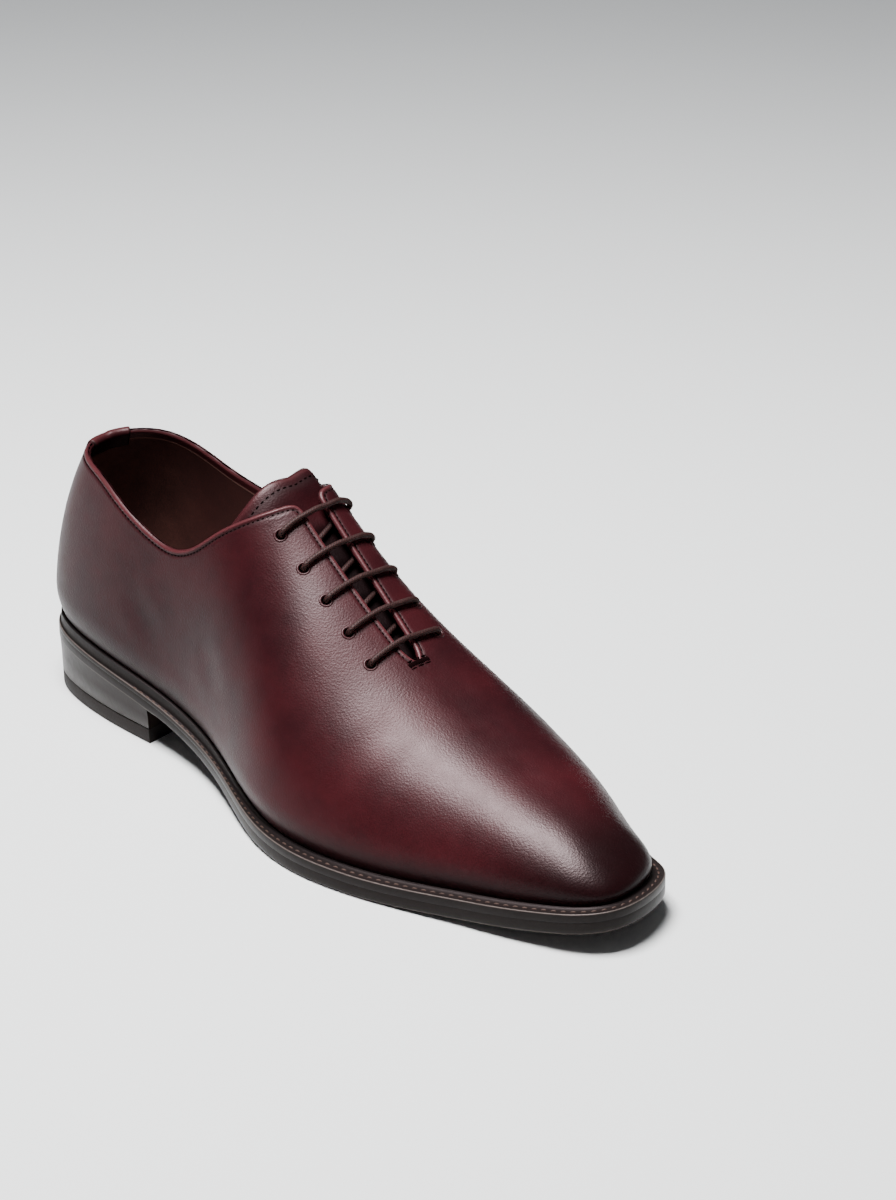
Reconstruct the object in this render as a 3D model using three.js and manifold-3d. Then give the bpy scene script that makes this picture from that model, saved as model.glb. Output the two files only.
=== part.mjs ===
// Plain-toe oxford for the right foot: whole-cut upper, closed lacing, welted leather sole.
// Millimetres. +X runs from heel to toe, +Y to the inner side of the foot, +Z up.

import * as THREE from 'three';
import { mergeVertices } from 'three/addons/utils/BufferGeometryUtils.js';
import Module from 'manifold-3d';

const wasm = await Module();
wasm.setup();

// Driving dimensions
const soleLength = 304;
const ballWidth = 105;
const instepHeight = 111;
const collarHeight = 67;
const heelHeight = 21;
const toeSpring = 9;
const ledgeFore = 5.5;
const ledgeWaist = 3.2;
const ledgeHeel = 2.4;

// Thicknesses and clearances
const upperWall = 2.2;
const bellyHeight = 14;
const outsoleFore = 4.7;
const outsoleWaist = 3.6;
const weltFore = 3.3;
const weltWaist = 1.7;
const randHeel = 4.2;
const randFore = 0.5;
const weltUnder = 6;
const insoleThick = 2.4;
const topLiftThick = 6;
const tongueThick = 1.8;
const stripThick = 1;
const fit = 0.3;

// Heel block, throat, lace and backstay
const heelLength = 76;
const heelTaper = 0.6;
const breastHollow = 3;
const edgeRound = 0.9;
const throatWidth = 8;
const eyeletHole = 4.4;
const eyeletSpread = 16;
const laceWidth = 2.2;
const stripWidth = 17;
const stripDrop = 26;
const cornerRound = 5;

// Tongue: its ends as shares of the sole's length along the ridge, its half widths along the surface,
// and how many ribs its top corners lie back.
const tongueTop = 0.406;
const tongueEnd = 0.66;
const tongueHalfTop = 44;
const tongueHalfEnd = 14;
const tongueShoulder = 0.32;

// Each table has named columns. Its lengths are shares of a driving dimension.
const table = (names, rows) => rows.map((row) => {
  const keys = names.split(' ');
  return Object.fromEntries(keys.map((key, i) => [key, row[i]]));
});

// Ribs of the last from heel to toe. along and ridge: shares of the last's length. outer and inner:
// half widths at the feather line as shares of its ball width. lean: how soon a rib turns over.
// swell: how far its wall bows out, as a share of the ball width.
const ribs = table('along outer inner ridge leanOuter leanInner swellOuter swellInner', [
  [0.000, 0.000, 0.000, 0.150, 1.15, 1.15, 0.032, 0.032],
  [0.022, 0.199, 0.201, 0.160, 1.20, 1.20, 0.032, 0.032],
  [0.085, 0.293, 0.294, 0.185, 1.00, 1.05, 0.032, 0.030],
  [0.180, 0.317, 0.309, 0.230, 0.60, 0.85, 0.032, 0.024],
  [0.275, 0.304, 0.279, 0.300, 0.45, 0.50, 0.030, 0.028],
  [0.370, 0.325, 0.248, 0.385, 0.70, 0.40, 0.038, 0.045],
  [0.460, 0.407, 0.268, 0.465, 0.95, 0.40, 0.043, 0.060],
  [0.545, 0.488, 0.341, 0.545, 1.00, 0.50, 0.043, 0.045],
  [0.625, 0.503, 0.438, 0.620, 1.10, 0.56, 0.038, 0.038],
  [0.700, 0.460, 0.500, 0.690, 1.05, 0.62, 0.032, 0.034],
  [0.770, 0.386, 0.492, 0.752, 0.98, 0.66, 0.027, 0.030],
  [0.835, 0.307, 0.443, 0.805, 0.92, 0.70, 0.024, 0.026],
  [0.890, 0.246, 0.371, 0.845, 0.86, 0.73, 0.022, 0.022],
  [0.940, 0.181, 0.304, 0.870, 0.82, 0.76, 0.022, 0.022],
  [0.980, 0.110, 0.222, 0.885, 0.78, 0.78, 0.022, 0.022],
  [1.000, -0.021, 0.021, 0.890, 0.78, 0.78, 0.022, 0.022],
]);

// Crest of the last over its feather line: along is a share of the last's length, height of the instep.
const crest = table('along height', [
  [0.10, 0.913], [0.20, 0.941], [0.30, 1.000], [0.385, 0.965], [0.465, 0.834], [0.545, 0.691],
  [0.620, 0.554], [0.690, 0.443], [0.752, 0.370], [0.805, 0.316], [0.845, 0.276], [0.890, 0.229],
]);

// Underside of the outsole: along is a share of the sole's length, rise of the heel's height.
const shank = table('along rise', [
  [0.00, 1.02], [0.09, 0.94], [0.19, 0.82], [0.28, 0.61], [0.37, 0.35], [0.46, 0.135], [0.54, 0.03], [0.60, 0.0],
]);

// Edge of the collar seen from the side: along is a share of the sole's length, the heights are
// shares of the collar's height over the feather line at the back.
const collar = table('along outer inner', [
  [0.020, 0.990, 0.990], [0.045, 1.005, 1.012], [0.100, 1.010, 1.012], [0.150, 0.990, 0.967],
  [0.200, 0.922, 0.907], [0.250, 0.845, 0.879], [0.300, 0.813, 0.885], [0.340, 0.893, 0.975],
  [0.372, 1.015, 1.080], [0.406, 1.122, 1.160], [0.428, 1.178, 1.206], [0.460, 1.228, 1.243],
  [0.500, 1.303, 1.318],
]);

// Throat: along is a share of the sole's length, gap of the throat's width.
const throat = table('along gap', [
  [0.38, 1.20], [0.44, 1.12], [0.50, 1.05], [0.56, 0.90], [0.60, 0.70],
]);
const throatEnd = 0.628;
const facingStart = 0.4;
const eyelets = [0.451, 0.490, 0.529, 0.567, 0.604];

const leather = (color, roughness) => new THREE.MeshStandardMaterial({ color, roughness, metalness: 0 });
const finish = {
  calf: leather(0x4c2124, 0.3),
  tongue: leather(0x47201f, 0.38),
  insole: leather(0x3a2420, 0.8),
  welt: leather(0x2e2220, 0.5),
  outsole: leather(0x241d1c, 0.45),
  heel: leather(0x2a2322, 0.4),
  rubber: leather(0x1b1919, 0.8),
  lace: leather(0x3a2826, 0.8),
};

const featherWidth = ballWidth - 2 * ledgeFore;
const lastBack = ledgeHeel;
const lastLength = soleLength - ledgeHeel - ledgeFore;
const half = Math.PI / 2;
const toe = ribs.length - 1;
const round = 2 * toe;

// Smooth curve through the rows of a table: value and slope at any x, straight past its ends.
function curve(rows, key, unitAlong, unitHeight, startAlong = 0) {
  const x = rows.map((row) => startAlong + row.along * unitAlong);
  const y = rows.map((row) => row[key] * unitHeight);
  const last = x.length - 1;
  const bend = new Array(last + 1).fill(0);
  const carry = new Array(last + 1).fill(0);
  for (let i = 1; i < last; i += 1) {
    const before = x[i] - x[i - 1];
    const after = x[i + 1] - x[i];
    const turn = (y[i + 1] - y[i]) / after - (y[i] - y[i - 1]) / before;
    const pivot = 2 * (before + after) - before * carry[i - 1];
    carry[i] = after / pivot;
    bend[i] = (6 * turn - before * bend[i - 1]) / pivot;
  }
  for (let i = last - 1; i > 0; i -= 1) bend[i] -= carry[i] * bend[i + 1];
  const inside = (at) => {
    let i = 0;
    while (i < last - 1 && at > x[i + 1]) i += 1;
    const span = x[i + 1] - x[i];
    const b = (at - x[i]) / span;
    const a = 1 - b;
    const sag = ((a * a * a - a) * bend[i] + (b * b * b - b) * bend[i + 1]) * span * span / 6;
    const tilt = ((3 * b * b - 1) * bend[i + 1] - (3 * a * a - 1) * bend[i]) * span / 6;
    return { value: a * y[i] + b * y[i + 1] + sag, slope: (y[i + 1] - y[i]) / span + tilt };
  };
  return (at) => {
    const near = Math.min(Math.max(at, x[0]), x[last]);
    const { value, slope } = inside(near);
    return { value: value + slope * (at - near), slope };
  };
}

// Closed smooth curve through values that run once around the last, from the heel by the outer side.
function around(outer, inner) {
  const values = [];
  for (let i = 0; i < round; i += 1) values.push(i <= toe ? outer(ribs[i]) : inner(ribs[round - i]));
  let control = [...values];
  for (let sweep = 0; sweep < 60; sweep += 1) {
    control = control.map((held, i) => {
      const sides = control[(i + 1) % round] + control[(i + round - 1) % round];
      return 0.7 * (6 * values[i] - sides) / 4 + 0.3 * held;
    });
  }
  return (at) => {
    const start = Math.floor(at);
    const f = at - start;
    const weights = [(1 - f) ** 3, 3 * f ** 3 - 6 * f * f + 4, 1 + 3 * f + 3 * f * f - 3 * f ** 3, f ** 3];
    return weights.reduce((sum, w, i) => sum + w * control[(start + i - 1 + 2 * round) % round], 0) / 6;
  };
}

const atLength = (key) => (row) => lastBack + row[key] * lastLength;
const featherX = around(atLength('along'), atLength('along'));
const ridgeX = around(atLength('ridge'), atLength('ridge'));
const featherY = around((row) => -row.outer * featherWidth, (row) => row.inner * featherWidth);
const lean = around((row) => row.leanOuter, (row) => row.leanInner);
const swell = around((row) => row.swellOuter * featherWidth, (row) => row.swellInner * featherWidth);

const shankRise = curve(shank, 'rise', soleLength, heelHeight);
const flatEnd = shank[shank.length - 1].along * soleLength;
const springStart = 0.7 * soleLength;
const underside = (x) => {
  const back = x < flatEnd ? Math.max(shankRise(x).value, 0) : 0;
  const tip = Math.max((x - springStart) / (soleLength - springStart), 0);
  return back + toeSpring * tip ** 1.8;
};
const foreShare = (x) => THREE.MathUtils.smoothstep(x / soleLength, 0.3, 0.6);
const between = (rear, fore) => (x) => rear + (fore - rear) * foreShare(x);
const outsoleThick = between(outsoleWaist, outsoleFore);
const weltThick = between(weltWaist, weltFore);
const randThick = between(randHeel, randFore);
const outsoleTop = (x) => underside(x) + outsoleThick(x);
const ledgeTop = (x) => outsoleTop(x) + fit + weltThick(x);
const weltTop = (x) => ledgeTop(x) + randThick(x);
const featherZ = (x) => weltTop(x) + fit;

const crestHeight = curve(crest, 'height', lastLength, instepHeight, lastBack);
const crestZ = (x) => featherZ(x) + crestHeight(x).value;
function ridgePoint(t) {
  const x = ridgeX(t);
  const y = 2 + 2 * THREE.MathUtils.clamp((x / soleLength - 0.3) / 0.4, 0, 1);
  return { x, y, z: crestZ(x), slope: (crestZ(x + 1) - crestZ(x - 1)) / 2 };
}

// Unit normal of the feather line in plan, pointing out of the foot.
function outward(t) {
  const step = 0.01;
  const dx = featherX(t + step) - featherX(t - step);
  const dy = featherY(t + step) - featherY(t - step);
  const length = Math.hypot(dx, dy);
  return { x: dy / length, y: -dx / length };
}

// Point of the last's surface on rib t: turn is 0 at the feather line and a quarter turn at the ridge.
function lastPoint(t, turn) {
  const x = featherX(t);
  const y = featherY(t);
  const z = featherZ(x);
  const top = ridgePoint(t);
  const out = outward(t);
  const reach = Math.max(Math.cos(turn), 0) ** lean(t);
  const rise = Math.sin(turn);
  const full = Math.min(rise * (top.z - z) / bellyHeight, 1);
  const bow = swell(t) * full * (2 - full) * Math.cos(turn);
  const ahead = (x - top.x) * reach + out.x * bow;
  return new THREE.Vector3(
    top.x + ahead,
    top.y + (y - top.y) * reach + out.y * bow,
    z + (top.z - z) * rise + top.slope * ahead * rise,
  );
}

// Outward normal there. It is level at the feather line and square to the crest at the ridge.
function lastNormal(t, turn) {
  if (turn < 0.001) {
    const out = outward(t);
    return new THREE.Vector3(out.x, out.y, 0);
  }
  if (turn > half - 0.001) return new THREE.Vector3(-ridgePoint(t).slope, 0, 1).normalize();
  const step = 0.01;
  const up = Math.min(turn + step, half);
  const along = lastPoint(t + step, turn).sub(lastPoint(t - step, turn));
  const over = lastPoint(t, up).sub(lastPoint(t, turn - Math.min(step, turn)));
  return along.cross(over).normalize();
}
const shellPoint = (t, turn, depth) => lastPoint(t, turn).addScaledVector(lastNormal(t, turn), -depth);

// Collar and throat cut each rib where its distance inside the opening's edge comes to nothing.
const collarBase = featherZ(0);
const collarOuter = curve(collar, 'outer', soleLength, collarHeight);
const collarInner = curve(collar, 'inner', soleLength, collarHeight);
const throatGap = curve(throat, 'gap', soleLength, throatWidth / 2);
function insideEdge(point, t) {
  const edge = t < toe ? collarOuter : collarInner;
  const below = collarBase + edge(point.x).value - point.z;
  const past = throatEnd * soleLength - point.x;
  if (point.x < facingStart * soleLength) return below;
  if (past < 0) return Math.max(below, cornerRound);
  const endRound = Math.min(1, Math.sqrt(past / 4));
  const aside = Math.abs(point.y - ridgePoint(t).y) - throatGap(point.x).value * endRound;
  const share = THREE.MathUtils.clamp(0.5 + (aside - below) / (2 * cornerRound), 0, 1);
  return aside + (below - aside) * share - cornerRound * share * (1 - share);
}
function trimTurn(t) {
  const steps = 60;
  for (let i = 1; i <= steps; i += 1) {
    if (insideEdge(lastPoint(t, half * i / steps), t) < 0) {
      let low = half * (i - 1) / steps;
      let high = half * i / steps;
      for (let k = 0; k < 24; k += 1) {
        const middle = (low + high) / 2;
        if (insideEdge(lastPoint(t, middle), t) < 0) high = middle;
        else low = middle;
      }
      return low;
    }
  }
  return half;
}

// Closed body from a list of triangles whose corners are points.
function body(triangles) {
  const solid = triangles.filter(([a, b, c]) => {
    const area = new THREE.Vector3().subVectors(b, a).cross(new THREE.Vector3().subVectors(c, a));
    return area.length() > 1e-7;
  });
  const geometry = new THREE.BufferGeometry();
  const numbers = solid.flat().flatMap((point) => [point.x, point.y, point.z]);
  geometry.setAttribute('position', new THREE.Float32BufferAttribute(numbers, 3));
  return mergeVertices(geometry, 1e-4);
}
const facet = (list, a, b, c, d) => {
  list.push([a, b, c]);
  list.push([a, c, d]);
};

// Sheet between an outer and an inner grid of points, closed along its four sides.
function sheet(outerGrid, innerGrid) {
  const list = [];
  const rows = outerGrid.length;
  const count = outerGrid[0].length;
  for (let i = 0; i + 1 < rows; i += 1) {
    for (let j = 0; j + 1 < count; j += 1) {
      facet(list, outerGrid[i][j], outerGrid[i + 1][j], outerGrid[i + 1][j + 1], outerGrid[i][j + 1]);
      facet(list, innerGrid[i][j], innerGrid[i][j + 1], innerGrid[i + 1][j + 1], innerGrid[i + 1][j]);
    }
    facet(list, outerGrid[i + 1][0], outerGrid[i][0], innerGrid[i][0], innerGrid[i + 1][0]);
    const end = count - 1;
    facet(list, outerGrid[i][end], outerGrid[i + 1][end], innerGrid[i + 1][end], innerGrid[i][end]);
  }
  for (let j = 0; j + 1 < count; j += 1) {
    const end = rows - 1;
    facet(list, outerGrid[0][j], outerGrid[0][j + 1], innerGrid[0][j + 1], innerGrid[0][j]);
    facet(list, outerGrid[end][j + 1], outerGrid[end][j], innerGrid[end][j], innerGrid[end][j + 1]);
  }
  return list;
}

// Rib places along one side, closer together at the heel, at the facings and round the toe.
const places = [];
const spans = table('from to count', [
  [0, 2, 5], [2, 4.8, 5], [4.8, 5.9, 9], [5.9, 8, 6], [8, 8.6, 4], [8.6, 13, 9], [13, 15, 5],
]);
for (const span of spans) {
  for (let i = 0; i < span.count; i += 1) places.push(span.from + (span.to - span.from) * i / span.count);
}
const fullRound = [...places, toe, ...places.slice(1).reverse().map((t) => round - t)];

// Turns along a rib up to its end, in even steps of length with more where the surface bends.
const bendWeight = 14;
function evenTurns(t, end, rows) {
  const turns = [];
  const measure = [0];
  const samples = 48;
  for (let i = 0; i <= samples; i += 1) turns.push(end * (1 - (1 - i / samples) ** 3));
  for (let i = 1; i <= samples; i += 1) {
    const length = lastPoint(t, turns[i]).distanceTo(lastPoint(t, turns[i - 1]));
    const bend = lastNormal(t, turns[i]).angleTo(lastNormal(t, turns[i - 1]));
    measure.push(measure[i - 1] + length + bendWeight * bend);
  }
  const result = [0];
  for (let k = 1; k < rows; k += 1) {
    const wanted = measure[samples] * k / rows;
    let i = 1;
    while (measure[i] < wanted) i += 1;
    const share = (wanted - measure[i - 1]) / (measure[i] - measure[i - 1]);
    result.push(turns[i - 1] + (turns[i] - turns[i - 1]) * share);
  }
  return [...result, end];
}

// Upper: one wall round the foot, open at collar and throat and underneath.
const upperRows = 13;
function upperBody() {
  const ends = fullRound.map(trimTurn);
  const columns = fullRound.map((t, i) => evenTurns(t, ends[i], upperRows));
  const closed = ends.map((end) => end === half);
  const grid = (depth) => fullRound.map((t, i) => columns[i].map((turn) => {
    const rib = turn === half && t > toe ? round - t : t;
    return shellPoint(rib, turn, depth);
  }));
  const outerWall = grid(0);
  const innerWall = grid(upperWall);
  const list = [];
  for (let i = 0; i < fullRound.length; i += 1) {
    const n = (i + 1) % fullRound.length;
    for (let k = 0; k < upperRows; k += 1) {
      facet(list, outerWall[i][k], outerWall[n][k], outerWall[n][k + 1], outerWall[i][k + 1]);
      facet(list, innerWall[i][k], innerWall[i][k + 1], innerWall[n][k + 1], innerWall[n][k]);
    }
    facet(list, outerWall[n][0], outerWall[i][0], innerWall[i][0], innerWall[n][0]);
    if (closed[i] && closed[n]) continue;
    const top = upperRows;
    facet(list, outerWall[i][top], outerWall[n][top], innerWall[n][top], innerWall[i][top]);
  }
  return list;
}

// Rib place whose ridge lies at a share of the sole's length.
function ribAtRidge(share) {
  let low = 2;
  let high = toe - 1;
  for (let k = 0; k < 40; k += 1) {
    const middle = (low + high) / 2;
    if (ridgeX(middle) < share * soleLength) low = middle;
    else high = middle;
  }
  return low;
}
// Turn on a rib where it lies a given distance from the ridge, measured across the foot.
function turnAside(t, aside) {
  let low = 0;
  let high = half;
  for (let k = 0; k < 40; k += 1) {
    const middle = (low + high) / 2;
    const point = lastPoint(t, middle);
    if (Math.abs(point.y - ridgePoint(t).y) > aside) low = middle;
    else high = middle;
  }
  return low;
}
// Turn on a rib a given way down from the ridge, measured along the surface.
function turnAlong(t, length) {
  const samples = 60;
  let from = lastPoint(t, half);
  let gone = 0;
  let before = half;
  for (let i = 1; i <= samples; i += 1) {
    const turn = half * (1 - (i / samples) ** 3);
    const point = lastPoint(t, turn);
    const step = point.distanceTo(from);
    if (gone + step > length) return before + (turn - before) * (length - gone) / step;
    gone += step;
    from = point;
    before = turn;
  }
  return 0;
}
const sideRib = (t, side) => (side < 0 ? t : round - t);

// Manifold copies for cuts and joins.
function toManifold(geometry) {
  const plain = geometry.clone();
  plain.deleteAttribute('normal');
  plain.deleteAttribute('uv');
  const merged = mergeVertices(plain, 1e-4);
  const mesh = new wasm.Mesh({
    numProp: 3,
    vertProperties: new Float32Array(merged.attributes.position.array),
    triVerts: new Uint32Array(merged.index.array),
  });
  return new wasm.Manifold(mesh);
}
function fromManifold(solid) {
  const mesh = solid.getMesh();
  const geometry = new THREE.BufferGeometry();
  geometry.setAttribute('position', new THREE.Float32BufferAttribute(mesh.vertProperties, 3));
  geometry.setIndex(new THREE.Uint32BufferAttribute(mesh.triVerts, 1));
  return geometry;
}

// Eyelets: a place on the surface with its normal and the way toward the throat.
function eyelet(share, side) {
  const rib = ribAtRidge(share);
  const t = sideRib(rib, side);
  const turn = turnAside(t, eyeletSpread);
  const at = lastPoint(t, turn);
  const normal = lastNormal(t, turn);
  const inwardStep = lastPoint(t, Math.min(turn + 0.05, half)).sub(at).normalize();
  return { at, normal, inward: inwardStep };
}
const eyeletPairs = eyelets.map((share) => [eyelet(share, -1), eyelet(share, 1)]);

function punched(list) {
  let solid = toManifold(body(list));
  for (const hole of eyeletPairs.flat()) {
    const pin = new THREE.CylinderGeometry(eyeletHole / 2, eyeletHole / 2, 4 * upperWall, 10);
    const spin = new THREE.Quaternion().setFromUnitVectors(new THREE.Vector3(0, 1, 0), hole.normal);
    pin.applyQuaternion(spin);
    const centre = hole.at.clone().addScaledVector(hole.normal, -upperWall / 2);
    pin.translate(centre.x, centre.y, centre.z);
    solid = solid.subtract(toManifold(pin));
  }
  return fromManifold(solid);
}

// Tongue: a leaf under the facings that comes out above them, with a rounded top.
const tongueRows = 14;
const tongueColumns = 12;
const laceRoom = upperWall + laceWidth + 4 * fit;
function tongueBody() {
  const first = ribAtRidge(tongueTop);
  const end = ribAtRidge(tongueEnd);
  const grid = (extra) => {
    const rows = [];
    for (let i = 0; i <= tongueRows; i += 1) {
      const down = i / tongueRows;
      const row = [];
      for (let j = 0; j <= tongueColumns; j += 1) {
        const across = 2 * j / tongueColumns - 1;
        const shoulder = tongueShoulder * Math.abs(across) ** 2.5 * (1 - down) ** 2;
        const rib = first + (end - first) * down - shoulder;
        const t = sideRib(rib, across <= 0 ? -1 : 1);
        const width = tongueHalfTop + (tongueHalfEnd - tongueHalfTop) * THREE.MathUtils.smoothstep(down, 0.1, 0.75);
        const turn = turnAlong(t, width * Math.abs(across));
        const sink = THREE.MathUtils.smoothstep(rib - first, 0.15, 0.6);
        const depth = upperWall + 2 * fit + (laceRoom - upperWall - 2 * fit) * sink;
        row.push(shellPoint(across === 0 ? rib : t, turn, depth + extra));
      }
      rows.push(row);
    }
    return rows;
  };
  return sheet(grid(0), grid(tongueThick));
}

// Rib whose top edge lies a given way aside from the middle of the heel.
function heelRib(aside) {
  let low = 0;
  let high = 2;
  for (let k = 0; k < 30; k += 1) {
    const middle = (low + high) / 2;
    if (Math.abs(lastPoint(middle, trimTurn(middle)).y) < Math.abs(aside)) low = middle;
    else high = middle;
  }
  return aside < 0 ? round - low : low;
}

// Backstay strip over the heel's top edge, cut between two shells of the upper's own surface.
function stripBody() {
  const rows = 8;
  const columns = 10;
  const grid = (depth) => {
    const list = [];
    for (let i = 0; i <= rows; i += 1) {
      const down = i / rows;
      const row = [];
      for (let j = 0; j <= columns; j += 1) {
        const across = 2 * j / columns - 1;
        const width = (stripWidth / 2) * Math.sqrt(1 - 0.9 * down ** 3);
        const t = heelRib(across * width);
        const topTurn = trimTurn(t);
        const top = lastPoint(t, topTurn).z;
        const wanted = top - 2 * fit - stripDrop * down;
        let low = 0;
        let high = topTurn;
        for (let k = 0; k < 30; k += 1) {
          const middle = (low + high) / 2;
          if (lastPoint(t, middle).z < wanted) low = middle;
          else high = middle;
        }
        row.push(shellPoint(t, low, depth));
      }
      list.push(row);
    }
    return list;
  };
  return sheet(grid(-fit - stripThick), grid(-fit));
}

// Plan edge of a sole piece at rib t, a distance outside the feather line.
function ledge(t) {
  const u = (t <= toe ? t : round - t) / toe;
  const toWaist = THREE.MathUtils.smoothstep(u, 0.18, 0.34);
  const toFore = THREE.MathUtils.smoothstep(u, 0.36, 0.56);
  return ledgeHeel + (ledgeWaist - ledgeHeel) * toWaist + (ledgeFore - ledgeWaist) * toFore;
}
const plan = (t, out) => {
  const n = outward(t);
  return { x: featherX(t) + n.x * out, y: featherY(t) + n.y * out };
};

// Flat piece between levels from bottom to top. Each level has its edge's place out of the feather
// line and its height over any x. The piece runs from the heel to the rib end, or to the toe.
function plateBody(levels, stations, across, frontHollow) {
  const grids = levels.map((level) => stations.map((t, s) => {
    const outer = plan(t, level.out(t));
    const inner = plan(round - t, level.out(t));
    const row = [];
    for (let j = 0; j <= across; j += 1) {
      const share = j / across;
      const single = t === 0 || t === toe;
      const y = single ? outer.y : outer.y + (inner.y - outer.y) * share;
      let x = single ? outer.x : outer.x + (inner.x - outer.x) * share;
      if (frontHollow && s === stations.length - 1) x = frontHollow.x - frontHollow.depth * 4 * share * (1 - share);
      row.push(new THREE.Vector3(x, y, level.z(x)));
    }
    return row;
  }));
  const list = [];
  const last = stations.length - 1;
  const bottom = grids[0];
  const top = grids[grids.length - 1];
  for (let s = 0; s < last; s += 1) {
    for (let j = 0; j < across; j += 1) {
      facet(list, top[s][j], top[s + 1][j], top[s + 1][j + 1], top[s][j + 1]);
      facet(list, bottom[s][j + 1], bottom[s + 1][j + 1], bottom[s + 1][j], bottom[s][j]);
    }
  }
  for (let l = 0; l + 1 < grids.length; l += 1) {
    const low = grids[l];
    const high = grids[l + 1];
    for (let s = 0; s < last; s += 1) {
      facet(list, low[s][0], low[s + 1][0], high[s + 1][0], high[s][0]);
      facet(list, low[s + 1][across], low[s][across], high[s][across], high[s + 1][across]);
    }
    for (let j = 0; j < across; j += 1) {
      facet(list, low[last][j], low[last][j + 1], high[last][j + 1], high[last][j]);
      facet(list, low[0][j + 1], low[0][j], high[0][j], high[0][j + 1]);
    }
  }
  return list;
}

const soleStations = [];
for (let i = 0; i < 2 * toe; i += 1) soleStations.push(i / 2);
soleStations.splice(1, 0, 0.25);
soleStations.push(toe - 0.2);
soleStations.push(toe);
const edge = (inset) => (t) => ledge(t) - inset;
const above = (height, extra) => (x) => height(x) + extra;

const outsoleBody = plateBody([
  { out: edge(edgeRound), z: above(underside, 0) },
  { out: edge(0), z: above(underside, edgeRound) },
  { out: edge(0), z: above(outsoleTop, -0.5) },
  { out: edge(0.5), z: above(outsoleTop, 0) },
], soleStations, 1);

const insoleIn = () => -weltUnder - fit;
const insoleOut = () => -upperWall - 2 * fit;
const insoleBody = plateBody([
  { out: insoleIn, z: above(outsoleTop, fit) },
  { out: insoleIn, z: above(weltTop, fit) },
  { out: insoleOut, z: above(weltTop, fit) },
  { out: insoleOut, z: above(weltTop, fit + insoleThick) },
], soleStations, 1);

// Welt: a ring swept round the outline between outsole and upper.
function weltBody() {
  const rand = (t) => 0.5 + (ledge(t) < ledgeWaist ? 0.9 : 0.9 * (ledgeFore - ledge(t)) / (ledgeFore - ledgeWaist));
  const profile = [
    { out: (t) => ledge(t) - 0.5, z: (x) => outsoleTop(x) + fit },
    { out: (t) => ledge(t) - 0.1, z: (x) => outsoleTop(x) + fit + 0.5 },
    { out: (t) => ledge(t) - 0.1, z: (x) => ledgeTop(x) - 0.6 },
    { out: (t) => ledge(t) - 0.7, z: (x) => ledgeTop(x) },
    { out: rand, z: (x) => ledgeTop(x) + 0.1 },
    { out: (t) => rand(t) - 0.4, z: (x) => weltTop(x) },
    { out: () => -weltUnder, z: (x) => weltTop(x) },
    { out: () => -weltUnder, z: (x) => outsoleTop(x) + fit },
  ];
  const loop = [...soleStations, ...soleStations.slice(1, -1).reverse().map((t) => round - t)];
  const rings = loop.map((t) => profile.map((corner) => {
    const at = plan(t, corner.out(t));
    return new THREE.Vector3(at.x, at.y, corner.z(at.x));
  }));
  const list = [];
  for (let i = 0; i < rings.length; i += 1) {
    const n = (i + 1) % rings.length;
    for (let k = 0; k < profile.length; k += 1) {
      const m = (k + 1) % profile.length;
      facet(list, rings[i][k], rings[n][k], rings[n][m], rings[i][m]);
    }
  }
  return list;
}

// Heel: a block under the seat with its breast hollowed, and a top lift below it.
function heelStations() {
  let end = 1;
  while (plan(end, ledge(end)).x < heelLength) end += 0.001;
  const list = [0, 0.25, 0.5];
  for (let i = 1; i <= 6; i += 1) list.push(0.5 + (end - 0.5) * i / 6);
  return list;
}
const heelSide = (share) => (t) => ledge(t) - 0.3 - heelTaper * share;
const breast = { x: heelLength, depth: breastHollow };
const heelBody = plateBody([
  { out: heelSide(0.8), z: () => topLiftThick + fit },
  { out: heelSide(0), z: above(underside, -fit) },
], heelStations(), 6, breast);
const topLiftBody = plateBody([
  { out: heelSide(1.3), z: () => 0 },
  { out: heelSide(1), z: () => 0.6 },
  { out: heelSide(0.8), z: () => topLiftThick },
], heelStations(), 6, breast);

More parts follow.
